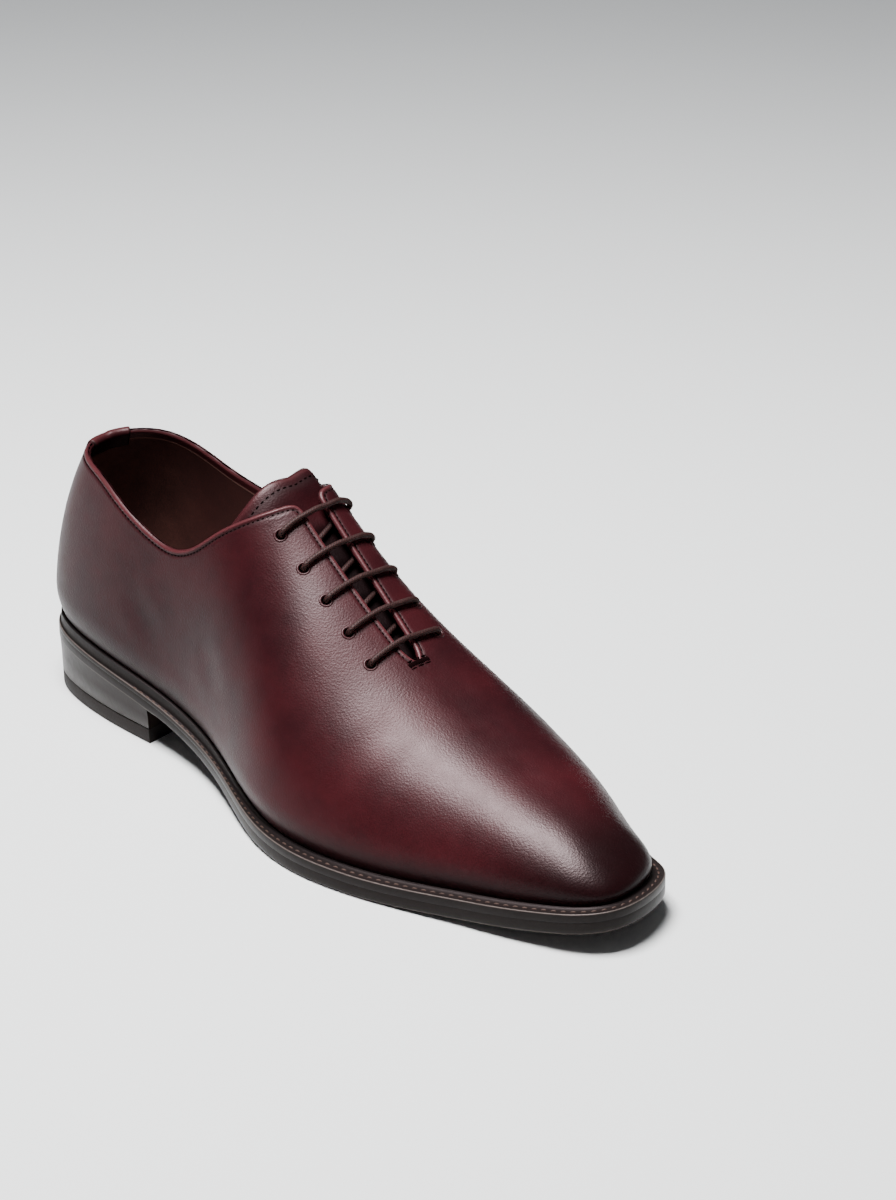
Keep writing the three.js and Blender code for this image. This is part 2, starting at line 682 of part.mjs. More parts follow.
// Lace: five straight bars over the facings, joined by slants that cross under them.
function laceBody() {
  const radius = laceWidth / 2;
  const over = radius + 2 * fit;
  const under = -upperWall - radius - 2 * fit;
  const beside = (share, side, aside, height) => {
    const t = sideRib(ribAtRidge(share), side);
    const turn = turnAside(t, Math.abs(aside));
    return lastPoint(t, turn).addScaledVector(lastNormal(t, turn), height);
  };
  const through = (hole) => [[2.6, over], [0.6, over * 0.7], [0, -upperWall / 2], [0.6, under * 0.9], [2.6, under]]
    .map(([inward, height]) => hole.at.clone()
      .addScaledVector(hole.inward, inward)
      .addScaledVector(hole.normal, height));
  const edge = throatWidth / 2;
  const points = [];
  eyelets.forEach((share, i) => {
    const [outer, inner] = eyeletPairs[i];
    const up = through(outer).reverse();
    points.push(...(i === 0 ? up.slice(2) : up));
    points.push(beside(share, -1, (eyeletSpread + edge) / 2, over));
    const outerEdge = beside(share, -1, edge, over);
    const innerEdge = beside(share, 1, edge, over);
    points.push(outerEdge);
    points.push(outerEdge.clone().lerp(innerEdge, 0.5).add(new THREE.Vector3(0, 0, fit)));
    points.push(innerEdge);
    points.push(beside(share, 1, (eyeletSpread + edge) / 2, over));
    if (i === eyelets.length - 1) {
      points.push(...through(inner).slice(0, 3));
      return;
    }
    points.push(...through(inner));
    const step = eyelets[i + 1] - share;
    points.push(beside(share + 0.25 * step, 1, 0.55 * eyeletSpread, under));
    points.push(beside(share + 0.42 * step, 1, 0.2 * eyeletSpread, under));
    points.push(beside(share + 0.58 * step, -1, 0.2 * eyeletSpread, under));
    points.push(beside(share + 0.75 * step, -1, 0.55 * eyeletSpread, under));
  });
  const path = new THREE.CatmullRomCurve3(points, false, 'centripetal');
  const section = new THREE.Shape();
  section.absarc(0, 0, radius, 0, 2 * Math.PI);
  const steps = Math.round(1.6 * points.length);
  return new THREE.ExtrudeGeometry(section, { steps, curveSegments: 4, bevelEnabled: false, extrudePath: path });
}

function piece(name, geometry, material) {
  const clean = geometry.clone();
  clean.deleteAttribute('normal');
  clean.deleteAttribute('uv');
  const mesh = new THREE.Mesh(mergeVertices(clean, 1e-4), material);
  mesh.geometry.computeVertexNormals();
  mesh.name = name;
  return mesh;
}

const shoe = new THREE.Group();
shoe.name = 'oxford';
shoe.add(piece('upper', punched(upperBody()), finish.calf));
shoe.add(piece('tongue', body(tongueBody()), finish.tongue));
shoe.add(piece('heel_strip', body(stripBody()), finish.calf));
shoe.add(piece('insole', body(insoleBody), finish.insole));
shoe.add(piece('welt', body(weltBody()), finish.welt));
shoe.add(piece('outsole', body(outsoleBody), finish.outsole));
shoe.add(piece('heel_stack', body(heelBody), finish.heel));
shoe.add(piece('top_lift', body(topLiftBody), finish.rubber));
shoe.add(piece('lace', laceBody(), finish.lace));

// The origin is under the middle of the shoe, on the floor.
const box = new THREE.Box3().setFromObject(shoe);
const middle = box.getCenter(new THREE.Vector3());
shoe.position.set(-middle.x, -middle.y, -box.min.z);

export default shoe;
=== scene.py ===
import bpy
import bmesh
import math
import numpy as np
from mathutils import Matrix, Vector
from mathutils.kdtree import KDTree


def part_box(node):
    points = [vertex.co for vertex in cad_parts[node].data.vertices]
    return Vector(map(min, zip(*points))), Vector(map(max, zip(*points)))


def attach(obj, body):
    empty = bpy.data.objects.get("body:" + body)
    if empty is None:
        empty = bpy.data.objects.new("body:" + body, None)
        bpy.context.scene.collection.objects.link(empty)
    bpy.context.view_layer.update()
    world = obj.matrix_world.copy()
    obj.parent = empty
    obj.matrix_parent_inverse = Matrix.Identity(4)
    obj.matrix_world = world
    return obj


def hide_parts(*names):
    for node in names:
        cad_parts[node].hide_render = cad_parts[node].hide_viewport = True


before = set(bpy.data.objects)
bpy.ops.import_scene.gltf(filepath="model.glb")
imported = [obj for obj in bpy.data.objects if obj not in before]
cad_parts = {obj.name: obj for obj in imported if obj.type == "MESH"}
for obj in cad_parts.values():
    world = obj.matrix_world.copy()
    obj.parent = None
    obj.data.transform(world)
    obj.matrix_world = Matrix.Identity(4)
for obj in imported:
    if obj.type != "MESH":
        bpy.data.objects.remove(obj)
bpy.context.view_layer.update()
print("frame loaded")

# The shoe is worked out in millimetres from the back of its sole, as its pattern is, and then moved
# onto the frame. t runs round the last: 0 at the heel, 15 at the toe by the outer side, 30 at the heel.
startAt = np.array([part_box("outsole")[0][0] * 1000, -0.08376, 0.0])
half = math.pi / 2
toe = 15
fullTurn = 30

last = {
    "soleLength": 304, "ballWidth": 105, "instepHeight": 111, "collarHeight": 67, "heelHeight": 21,
    "toeSpring": 9, "ledgeFore": 5.5, "ledgeWaist": 3.2, "ledgeHeel": 2.4, "bellyHeight": 14,
    "outsoleFore": 4.7, "outsoleWaist": 3.6, "weltFore": 3.3, "weltWaist": 1.7,
    "randHeel": 4.2, "randFore": 0.5, "fit": 0.3, "wall": 2.2,
    # along, half widths outer and inner, ridge, leans and swells of outer and inner side
    "ribs": [
        (0.000, 0.000, 0.000, 0.150, 1.15, 1.15, 0.032, 0.032),
        (0.022, 0.199, 0.201, 0.160, 1.20, 1.20, 0.032, 0.032),
        (0.085, 0.293, 0.294, 0.185, 1.00, 1.05, 0.032, 0.030),
        (0.180, 0.317, 0.309, 0.230, 0.60, 0.85, 0.032, 0.024),
        (0.275, 0.304, 0.279, 0.300, 0.45, 0.50, 0.030, 0.028),
        (0.370, 0.325, 0.248, 0.385, 0.70, 0.40, 0.038, 0.045),
        (0.460, 0.407, 0.268, 0.465, 0.95, 0.40, 0.043, 0.060),
        (0.545, 0.488, 0.341, 0.545, 1.00, 0.50, 0.043, 0.045),
        (0.625, 0.503, 0.438, 0.620, 1.10, 0.56, 0.038, 0.038),
        (0.700, 0.460, 0.500, 0.690, 1.05, 0.62, 0.032, 0.034),
        (0.770, 0.386, 0.492, 0.752, 0.98, 0.66, 0.027, 0.030),
        (0.835, 0.307, 0.443, 0.805, 0.92, 0.70, 0.024, 0.026),
        (0.890, 0.246, 0.371, 0.845, 0.86, 0.73, 0.022, 0.022),
        (0.940, 0.181, 0.304, 0.870, 0.82, 0.76, 0.022, 0.022),
        (0.980, 0.110, 0.222, 0.885, 0.78, 0.78, 0.022, 0.022),
        (1.000, -0.021, 0.021, 0.890, 0.78, 0.78, 0.022, 0.022),
    ],
    "crest": [(0.10, 0.913), (0.20, 0.941), (0.30, 1.000), (0.385, 0.965), (0.465, 0.834), (0.545, 0.691),
              (0.620, 0.554), (0.690, 0.443), (0.752, 0.370), (0.805, 0.316), (0.845, 0.276), (0.890, 0.229)],
    "shank": [(0.00, 1.02), (0.09, 0.94), (0.19, 0.82), (0.28, 0.61), (0.37, 0.35), (0.46, 0.135),
              (0.54, 0.03), (0.60, 0.0)],
    "collarOuter": [(0.020, 0.990), (0.045, 1.005), (0.100, 1.010), (0.150, 0.990), (0.200, 0.922),
                    (0.250, 0.845), (0.300, 0.813), (0.340, 0.893), (0.372, 1.015), (0.406, 1.122),
                    (0.428, 1.178), (0.460, 1.228), (0.500, 1.303)],
    "collarInner": [(0.020, 0.990), (0.045, 1.012), (0.100, 1.012), (0.150, 0.967), (0.200, 0.907),
                    (0.250, 0.879), (0.300, 0.885), (0.340, 0.975), (0.372, 1.080), (0.406, 1.160),
                    (0.428, 1.206), (0.460, 1.243), (0.500, 1.318)],
    "throat": [(0.38, 1.20), (0.44, 1.12), (0.50, 1.05), (0.56, 0.90), (0.60, 0.70)],
    "throatWidth": 8, "throatEnd": 0.628, "facingStart": 0.4, "cornerRound": 5,
    "eyelets": [0.451, 0.490, 0.529, 0.567, 0.604], "eyeletSpread": 16,
}
soleLength = last["soleLength"]
featherWidth = last["ballWidth"] - 2 * last["ledgeFore"]
lastLength = soleLength - last["ledgeHeel"] - last["ledgeFore"]
fit = last["fit"]
wall = last["wall"]


def smooth(x, low, high):
    u = np.clip((np.asarray(x, float) - low) / (high - low), 0, 1)
    return u * u * (3 - 2 * u)


def curve(rows, unitAlong, unitHeight, startAlong=0.0):
    x = np.array([r[0] for r in rows]) * unitAlong + startAlong
    y = np.array([r[1] for r in rows]) * unitHeight
    n = len(x)
    a = np.eye(n)
    b = np.zeros(n)
    for i in range(1, n - 1):
        before, after = x[i] - x[i - 1], x[i + 1] - x[i]
        a[i, i - 1], a[i, i], a[i, i + 1] = before, 2 * (before + after), after
        b[i] = 6 * ((y[i + 1] - y[i]) / after - (y[i] - y[i - 1]) / before)
    bend = np.linalg.solve(a, b)

    def at(where):
        where = np.asarray(where, float)
        near = np.clip(where, x[0], x[-1])
        i = np.clip(np.searchsorted(x, near, side="right") - 1, 0, n - 2)
        span = x[i + 1] - x[i]
        q = (near - x[i]) / span
        p = 1 - q
        value = p * y[i] + q * y[i + 1] + ((p ** 3 - p) * bend[i] + (q ** 3 - q) * bend[i + 1]) * span ** 2 / 6
        slope = (y[i + 1] - y[i]) / span + ((3 * q * q - 1) * bend[i + 1] - (3 * p * p - 1) * bend[i]) * span / 6
        return value + slope * (where - near)
    fine = np.linspace(x[0], x[-1], 6001)
    ready = at(fine)
    first, final = at(x[0] - 1) - ready[0], at(x[-1] + 1) - ready[-1]

    def quick(where):
        where = np.asarray(where, float)
        return (np.interp(where, fine, ready) + np.minimum(where - x[0], 0) * -first
                + np.maximum(where - x[-1], 0) * final)
    return quick


def around(outer, inner):
    ribs = last["ribs"]
    values = np.array([outer(ribs[i]) if i <= toe else inner(ribs[fullTurn - i]) for i in range(fullTurn)])
    a = np.zeros((fullTurn, fullTurn))
    for i in range(fullTurn):
        a[i, i] = 4 / 6
        a[i, (i + 1) % fullTurn] = a[i, (i - 1) % fullTurn] = 1 / 6
    control = np.linalg.solve(a, values)
    fine = np.linspace(0, fullTurn, 9001)
    start = np.floor(fine).astype(int)
    f = fine - start
    weights = [(1 - f) ** 3, 3 * f ** 3 - 6 * f ** 2 + 4, 1 + 3 * f + 3 * f ** 2 - 3 * f ** 3, f ** 3]
    ready = sum(w * control[(start + i - 1) % fullTurn] for i, w in enumerate(weights)) / 6
    return lambda t: np.interp(np.asarray(t, float) % fullTurn, fine, ready)


def lengthOf(k):
    return lambda r: last["ledgeHeel"] + r[k] * lastLength


featherX = around(lengthOf(0), lengthOf(0))
ridgeX = around(lengthOf(3), lengthOf(3))
featherY = around(lambda r: -r[1] * featherWidth, lambda r: r[2] * featherWidth)
lean = around(lambda r: r[4], lambda r: r[5])
swell = around(lambda r: r[6] * featherWidth, lambda r: r[7] * featherWidth)
shankRise = curve(last["shank"], soleLength, last["heelHeight"])
crestHeight = curve(last["crest"], lastLength, last["instepHeight"], last["ledgeHeel"])
collarOuter = curve(last["collarOuter"], soleLength, last["collarHeight"])
collarInner = curve(last["collarInner"], soleLength, last["collarHeight"])
throatGap = curve(last["throat"], soleLength, last["throatWidth"] / 2)


def underside(x):
    x = np.asarray(x, float)
    back = np.where(x < 0.6 * soleLength, np.maximum(shankRise(x), 0), 0)
    tip = np.maximum((x - 0.7 * soleLength) / (0.3 * soleLength), 0)
    return back + last["toeSpring"] * tip ** 1.8


def between(rear, fore):
    return lambda x: rear + (fore - rear) * smooth(np.asarray(x) / soleLength, 0.3, 0.6)


outsoleThick = between(last["outsoleWaist"], last["outsoleFore"])
weltThick = between(last["weltWaist"], last["weltFore"])
randThick = between(last["randHeel"], last["randFore"])


def outsoleTop(x):
    return underside(x) + outsoleThick(x)


def ledgeTop(x):
    return outsoleTop(x) + fit + weltThick(x)


def weltTop(x):
    return ledgeTop(x) + randThick(x)


def featherZ(x):
    return weltTop(x) + fit


def crestZ(x):
    return featherZ(x) + crestHeight(x)


def ridgePoint(t):
    x = ridgeX(t)
    y = 2 + 2 * np.clip((x / soleLength - 0.3) / 0.4, 0, 1)
    return x, y, crestZ(x), (crestZ(x + 1) - crestZ(x - 1)) / 2


def outward(t):
    dx = featherX(t + 0.01) - featherX(t - 0.01)
    dy = featherY(t + 0.01) - featherY(t - 0.01)
    size = np.hypot(dx, dy)
    return dy / size, -dx / size


def lastPoint(t, turn):
    t, turn = np.broadcast_arrays(np.asarray(t, float), np.asarray(turn, float))
    x, y = featherX(t), featherY(t)
    z = featherZ(x)
    topX, topY, topZ, slope = ridgePoint(t)
    outX, outY = outward(t)
    c = np.maximum(np.cos(turn), 0)
    reach = c ** lean(t)
    rise = np.sin(turn)
    full = np.minimum(rise * (topZ - z) / last["bellyHeight"], 1)
    bow = swell(t) * full * (2 - full) * c
    ahead = (x - topX) * reach + outX * bow
    return np.stack([topX + ahead, topY + (y - topY) * reach + outY * bow,
                     z + (topZ - z) * rise + slope * ahead * rise], -1)


def unit(v):
    return v / np.maximum(np.linalg.norm(v, axis=-1, keepdims=True), 1e-9)


def lastNormal(t, turn):
    t, turn = np.broadcast_arrays(np.asarray(t, float), np.asarray(turn, float))
    step = 0.01
    along = lastPoint(t + step, turn) - lastPoint(t - step, turn)
    over = lastPoint(t, np.minimum(turn + step, half)) - lastPoint(t, np.maximum(turn - step, 0))
    n = unit(np.cross(along, over))
    slope = ridgePoint(t)[3]
    top = unit(np.stack([-slope, 0 * slope, 1 + 0 * slope], -1))
    outX, outY = outward(t)
    side = np.stack([outX, outY, 0 * outX], -1)
    n = np.where((turn > half - 0.001)[..., None], top, n)
    return np.where((turn < 0.001)[..., None], side, n)


def shell(t, turn, depth):
    return lastPoint(t, turn) - lastNormal(t, turn) * np.asarray(depth, float)[..., None]


def insideEdge(p, t):
    t = np.broadcast_to(np.asarray(t, float), p.shape[:-1])
    x, y, z = p[..., 0], p[..., 1], p[..., 2]
    below = featherZ(0.0) + np.where(t < toe, collarOuter(x), collarInner(x)) - z
    past = last["throatEnd"] * soleLength - x
    aside = np.abs(y - ridgePoint(t)[1]) - throatGap(x) * np.minimum(1, np.sqrt(np.maximum(past, 0) / 4))
    r = last["cornerRound"]
    share = np.clip(0.5 + (aside - below) / (2 * r), 0, 1)
    both = aside + (below - aside) * share - r * share * (1 - share)
    closed = np.where(past < 0, np.maximum(below, r), both)
    return np.where(x < last["facingStart"] * soleLength, below, closed)


turnSamples = half * (1 - (1 - np.linspace(0, 1, 1201)) ** 3)


def trimTurn(t):
    t = np.atleast_1d(np.asarray(t, float))
    inside = insideEdge(lastPoint(t[:, None], turnSamples[None]), t[:, None])
    ends = []
    for row in inside:
        hit = np.nonzero(row < 0)[0]
        if len(hit) == 0:
            ends.append(half)
            continue
        i = max(hit[0], 1)
        share = row[i - 1] / (row[i - 1] - row[i])
        ends.append(turnSamples[i - 1] + (turnSamples[i] - turnSamples[i - 1]) * share)
    return np.array(ends)


def ribAtRidge(share):
    ts = np.linspace(2, toe - 1, 4001)
    return float(np.interp(share * soleLength, ridgeX(ts), ts))


def turnAside(t, aside):
    p = lastPoint(t, turnSamples)
    off = np.abs(p[:, 1] - ridgePoint(t)[1])
    i = np.nonzero(off > aside)[0][-1]
    share = (off[i] - aside) / (off[i] - off[i + 1])
    return float(turnSamples[i] + (turnSamples[i + 1] - turnSamples[i]) * share)


def turnAlong(t, length):
    p = lastPoint(t, turnSamples[::-1])
    gone = np.concatenate([[0], np.cumsum(np.linalg.norm(np.diff(p, axis=0), axis=1))])
    return float(np.interp(length, gone, turnSamples[::-1]))


def sideRib(t, side):
    return t if side < 0 else fullTurn - t


# Mesh helpers

def makeMesh(name, points, faces, paint, node=None, marks=None, uv=None, flat=False, paintOf=None):
    mesh = bpy.data.meshes.new(name)
    mesh.from_pydata(((np.asarray(points) + startAt) / 1000).tolist(), [], faces)
    mesh.validate()
    piece = bpy.data.objects.new(name, mesh)
    bpy.context.scene.collection.objects.link(piece)
    for one in (paint if isinstance(paint, (list, tuple)) else [paint]):
        mesh.materials.append(one)
    if marks is not None:
        layer = mesh.color_attributes.new("marks", "FLOAT_COLOR", "POINT")
        layer.data.foreach_set("color", np.asarray(marks, float).ravel())
    if uv is not None:
        layer = mesh.attributes.new("plan", "FLOAT_VECTOR", "POINT")
        layer.data.foreach_set("vector", np.asarray(uv, float).ravel())
    mesh.polygons.foreach_set("use_smooth", [not flat] * len(mesh.polygons))
    if paintOf is not None:
        mesh.polygons.foreach_set("material_index", paintOf)
    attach(piece, "root")
    if node:
        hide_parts(node)
    return piece


def gridFaces(rows, columns, loop=False, first=0):
    faces = []
    for i in range(rows if loop else rows - 1):
        n = (i + 1) % rows
        for j in range(columns - 1):
            faces.append((first + i * columns + j, first + n * columns + j,
                          first + n * columns + j + 1, first + i * columns + j + 1))
    return faces


def evenFrames(points, normals, step, closed=False, start=0.0):
    points, normals = np.asarray(points, float), np.asarray(normals, float)
    if closed:
        points, normals = np.vstack([points, points[:1]]), np.vstack([normals, normals[:1]])
    gone = np.concatenate([[0], np.cumsum(np.linalg.norm(np.diff(points, axis=0), axis=1))])
    count = max(int(round((gone[-1] - start) / step)), 1)
    at = start + (np.arange(count) + 0.5) * (gone[-1] - start) / count

    def read(values, where):
        return np.stack([np.interp(where, gone, values[:, k]) for k in range(3)], -1)
    p, n = read(points, at), unit(read(normals, at))
    tangent = unit(read(points, at + 0.3) - read(points, at - 0.3))
    return p, n, tangent


def capsule(verts, faces, start, end, up, thread):
    rings, sides = 7, 6
    first = len(verts)
    way = unit(end - start)
    across = unit(np.cross(up, way))
    u = np.linspace(-1, 1, rings)
    fat = np.maximum(1 - np.abs(u) ** 2.6, 0.02) ** 0.5
    for k in range(rings):
        lift = thread["height"] * (1 - u[k] ** 2) - thread["sink"] * u[k] ** 4 - thread["width"] * 0.3
        centre = start + (end - start) * (u[k] + 1) / 2 + up * lift
        for a in np.arange(sides) * 2 * math.pi / sides:
            verts.append(centre + (across * math.cos(a) + up * math.sin(a)) * fat[k] * thread["width"] / 2)
    for k in range(rings - 1):
        for a in range(sides):
            b = (a + 1) % sides
            faces.append((first + k * sides + a, first + k * sides + b,
                          first + (k + 1) * sides + b, first + (k + 1) * sides + a))
    faces.append(tuple(first + a for a in reversed(range(sides))))
    faces.append(tuple(first + (rings - 1) * sides + a for a in range(sides)))


def stitchRow(name, points, normals, thread, paint, closed=False):
    p, n, along = evenFrames(points, normals, thread["pitch"], closed)
    verts, faces = [], []
    for i in range(len(p)):
        way = unit(along[i] + np.cross(n[i], along[i]) * thread.get("slant", 0.0)) * thread["length"] / 2
        capsule(verts, faces, p[i] - way, p[i] + way, n[i], thread)
    return makeMesh(name, np.array(verts), faces, paint)


# Shader writing: a wire is one socket, and sums on wires add Math nodes

class Wire:
    def __init__(self, paint, socket):
        self.paint = paint
        self.socket = socket

    def sum(self, kind, first, second=None):
        values = {0: first} if second is None else {0: first, 1: second}
        return self.paint.node("ShaderNodeMath", {"operation": kind}, values)

    def __add__(self, other):
        return self.sum("ADD", self, other)

    def __radd__(self, other):
        return self.sum("ADD", other, self)

    def __sub__(self, other):
        return self.sum("SUBTRACT", self, other)

    def __rsub__(self, other):
        return self.sum("SUBTRACT", other, self)

    def __mul__(self, other):
        return self.sum("MULTIPLY", self, other)

    def __rmul__(self, other):
        return self.sum("MULTIPLY", other, self)

    def __truediv__(self, other):
        return self.sum("DIVIDE", self, other)

    def __pow__(self, other):
        return self.sum("POWER", self, other)

    def sine(self):
        return self.sum("SINE", self)

    def size(self):
        return self.sum("ABSOLUTE", self)

    def most(self, other):
        return self.sum("MAXIMUM", self, other)

    def least(self, other):
        return self.sum("MINIMUM", self, other)

    def step(self, low, high):
        return self.paint.node("ShaderNodeMapRange", {"interpolation_type": "SMOOTHSTEP"},
                               {"Value": self, "From Min": low, "From Max": high})


class Paint:
    def __init__(self, name, **fixed):
        self.material = bpy.data.materials.new(name)
        self.material.use_nodes = True
        self.tree = self.material.node_tree
        self.skin = self.tree.nodes["Principled BSDF"]
        for key, value in fixed.items():
            self.skin.inputs[key.replace("_", " ")].default_value = value

    def node(self, kind, settings=None, values=None, out=0):
        made = self.tree.nodes.new(kind)
        for key, value in (settings or {}).items():
            if key == "stops":
                while len(made.color_ramp.elements) < len(value):
                    made.color_ramp.elements.new(0.5)
                for element, (at, colour) in zip(made.color_ramp.elements, value):
                    element.position = at
                    element.color = colour
            else:
                setattr(made, key, value)
        for key, value in (values or {}).items():
            if isinstance(value, Wire):
                self.tree.links.new(value.socket, made.inputs[key])
            else:
                made.inputs[key].default_value = value
        return Wire(self, made.outputs[out])

    def place(self):
        return self.node("ShaderNodeTexCoord", out="Object")

    def marks(self):
        colour = self.node("ShaderNodeAttribute", {"attribute_name": "marks"}, out="Color")
        parts = [self.node("ShaderNodeSeparateColor", None, {0: colour}, k) for k in range(3)]
        return parts

    def plan(self):
        vector = self.node("ShaderNodeAttribute", {"attribute_name": "plan"}, out="Vector")
        return [self.node("ShaderNodeSeparateXYZ", None, {0: vector}, k) for k in range(3)]

    def noise(self, scale, detail=3, rough=0.5, where=None, out=0):
        return self.node("ShaderNodeTexNoise", None,
                         {"Vector": where or self.place(), "Scale": scale, "Detail": detail, "Roughness": rough}, out)

    def cells(self, scale, feature="F1", where=None, out=0):
        return self.node("ShaderNodeTexVoronoi", {"feature": feature}, {"Vector": where or self.place(), "Scale": scale}, out)

    def mix(self, first, second, share, kind="MIX"):
        return self.node("ShaderNodeMix", {"data_type": "RGBA", "blend_type": kind},
                         {0: share, 6: first, 7: second}, 2)

    def bump(self, height, distance, strength=1.0, under=None):
        values = {"Height": height, "Distance": distance, "Strength": strength}
        if under:
            values["Normal"] = under
        return self.node("ShaderNodeBump", None, values)

    def feed(self, **links):
        for key, value in links.items():
            target = self.skin.inputs[key.replace("_", " ")]
            if isinstance(value, Wire):
                self.tree.links.new(value.socket, target)
            else:
                target.default_value = value
        return self.material


def rgb(red, green, blue):
    def one(v):
        v /= 255
        return v / 12.92 if v <= 0.04045 else ((v + 0.055) / 1.055) ** 2.4
    return (one(red), one(green), one(blue), 1.0)


# Finishes

calf = {"base": rgb(33, 9, 13), "warm": rgb(54, 15, 20), "burnishAndShade": rgb(13, 5, 6),
        "grain": 1300, "grainDepth": 0.00007, "roughness": 0.39}


def calfPaint(name, grain=1.0):
    p = Paint(name, Specular_IOR_Level=0.08)
    burnishAndShade, bead, seam = p.marks()
    cloud = p.noise(34, 5, 0.62)
    fine = p.noise(160, 3, 0.6)
    patch = p.noise(11, 3, 0.5)
    # dark is real burnish at the toe and heel, plus painted shade on the tongue down in the throat gap.
    dark = (burnishAndShade * (0.75 + cloud * 0.5)).least(1.0)
    colour = p.mix(calf["base"], calf["warm"], ((cloud + patch) * 0.5 - 0.38) * 4)
    colour = p.mix(colour, calf["burnishAndShade"], dark)
    # The lighter pink mixed in along the bead mark is a painted highlight on the rolled edge.
    colour = p.mix(colour, rgb(120, 64, 68), bead * 0.3)
    colour = p.mix(colour, rgb(10, 4, 4), seam * 0.85)
    pores = p.cells(calf["grain"], "F1")
    wrinkle = p.noise(1300, 4, 0.6)
    lift = wrinkle * 0.7 + pores * 0.4 + fine * 0.4
    rough = calf["roughness"] + (fine - 0.5) * 0.12 + dark * -0.04 + seam * 0.3 + (cloud - 0.5) * 0.1
    return p.feed(Base_Color=colour, Roughness=rough, Normal=p.bump(lift, calf["grainDepth"] * grain * 2.2, 0.6))


def liningPaint():
    p = Paint("brown_lining", Roughness=0.75, Specular_IOR_Level=0.3)
    edge, path, side = p.plan()
    suede, seam, unused = p.marks()
    nap = p.noise(900, 4, 0.7)
    cloud = p.noise(60, 4, 0.6)
    brown = p.mix(rgb(78, 46, 38), rgb(150, 102, 88), (cloud - 0.3) * 2.2)
    plain = p.mix(rgb(60, 27, 24), rgb(92, 46, 40), cloud)
    colour = p.mix(plain, brown, suede)
    colour = p.mix(colour, rgb(15, 8, 8), seam)
    band = 1 - edge.step(3.4, 3.8)
    colour = p.mix(colour, rgb(70, 24, 27), band)
    line = edge.step(3.5, 3.8) * (1 - edge.step(4.2, 4.6))
    colour = p.mix(colour, rgb(160, 116, 104), line * 0.7)
    rough = 0.55 + suede * 0.3 - band * 0.15
    return p.feed(Base_Color=colour, Roughness=rough, Normal=p.bump(nap * (0.4 + suede) + line * 0.6, 0.0002, 0.5))


def plainPaint(name, light, dark, rough, grain, depth, shine=0.25, scale=40):
    p = Paint(name, Specular_IOR_Level=shine)
    cloud = p.noise(scale, 4, 0.6)
    fine = p.noise(grain, 4, 0.65)
    colour = p.mix(dark, light, (cloud * 0.7 + fine * 0.5 - 0.1).least(1.0))
    return p.feed(Base_Color=colour, Roughness=rough + (fine - 0.5) * 0.2, Normal=p.bump(fine, depth, 0.6))


def edgePaint():
    p = Paint("sole_edge", Specular_IOR_Level=0.1)
    out, height, top = p.plan()  # height: 0 at the bottom, 1 at the top edge
    # top carries the strength of the painted highlight line along the sole edge's corners.
    cloud = p.noise(45, 4, 0.6)
    fine = p.noise(500, 3, 0.6)
    colour = p.mix(rgb(14, 10, 9), rgb(27, 20, 18), (cloud * 0.8 + fine * 0.4 - 0.1).least(1.0))
    # The pale grey line along the edge corners is a painted highlight.
    paintedEdgeHighlight = top * (0.5 + fine * 0.8)
    colour = p.mix(colour, rgb(128, 117, 112), paintedEdgeHighlight.least(1.0) * 0.6)
    # The underside is coloured dark as painted shade under the shoe.
    sole = (height * -1 + 0.02).step(0.0, 0.02)
    colour = p.mix(colour, p.mix(rgb(22, 15, 13), rgb(34, 24, 20), cloud), sole)
    return p.feed(Base_Color=colour, Roughness=0.36 + (fine - 0.5) * 0.2 + sole * 0.25, Normal=p.bump(fine + cloud, 0.00012, 0.5))


def lacePaint():
    p = Paint("waxed_lace", Specular_IOR_Level=0.08)
    along, turn, unused = p.plan()  # along in millimetres, turn in whole turns
    left = (along * 5.2 + turn * 37.7).sine()
    right = (along * 5.2 - turn * 37.7).sine()
    weave = left.most(right)
    fleck = p.noise(1400, 2, 0.5)
    # The darker colour between the braid strands is painted shade; the lighter tops follow the same ridges.
    colour = p.mix(rgb(20, 9, 9), rgb(48, 24, 22), weave.step(0.0, 1.0))
    colour = p.mix(colour, rgb(96, 70, 66), fleck.step(0.62, 0.74) * 0.4)
    return p.feed(Base_Color=colour, Roughness=0.5 + fleck * 0.15, Normal=p.bump(weave + fleck * 0.3, 0.00007, 0.6))


calfSkin = calfPaint("burgundy_calf")
tongueSkin = calfPaint("tongue_calf", 1.2)
stripSkin = calfPaint("strip_calf")
liningSkin = liningPaint()
edgeSkin = edgePaint()
laceSkin = lacePaint()
threadSkin = plainPaint("dark_thread", rgb(20, 8, 9), rgb(8, 4, 4), 0.8, 2500, 0.0001, 0.0)
weltThread = plainPaint("tan_thread", rgb(84, 66, 58), rgb(44, 33, 29), 0.7, 2500, 0.0001, 0.1, 120)
weltSkin = plainPaint("welt_leather", rgb(20, 12, 11), rgb(9, 6, 5), 0.5, 700, 0.00012, 0.1)
heelSkin = plainPaint("heel_leather", rgb(34, 25, 22), rgb(17, 12, 11), 0.36, 300, 0.0001, 0.1, 30)
rubberSkin = plainPaint("top_lift_rubber", rgb(33, 28, 26), rgb(19, 16, 15), 0.6, 900, 0.0002, 0.14)
sockSkin = plainPaint("sock_leather", rgb(60, 38, 30), rgb(36, 21, 17), 0.6, 800, 0.00012)
print("finishes ready")

# Upper: outer leather, rolled edge and lining in one closed mesh

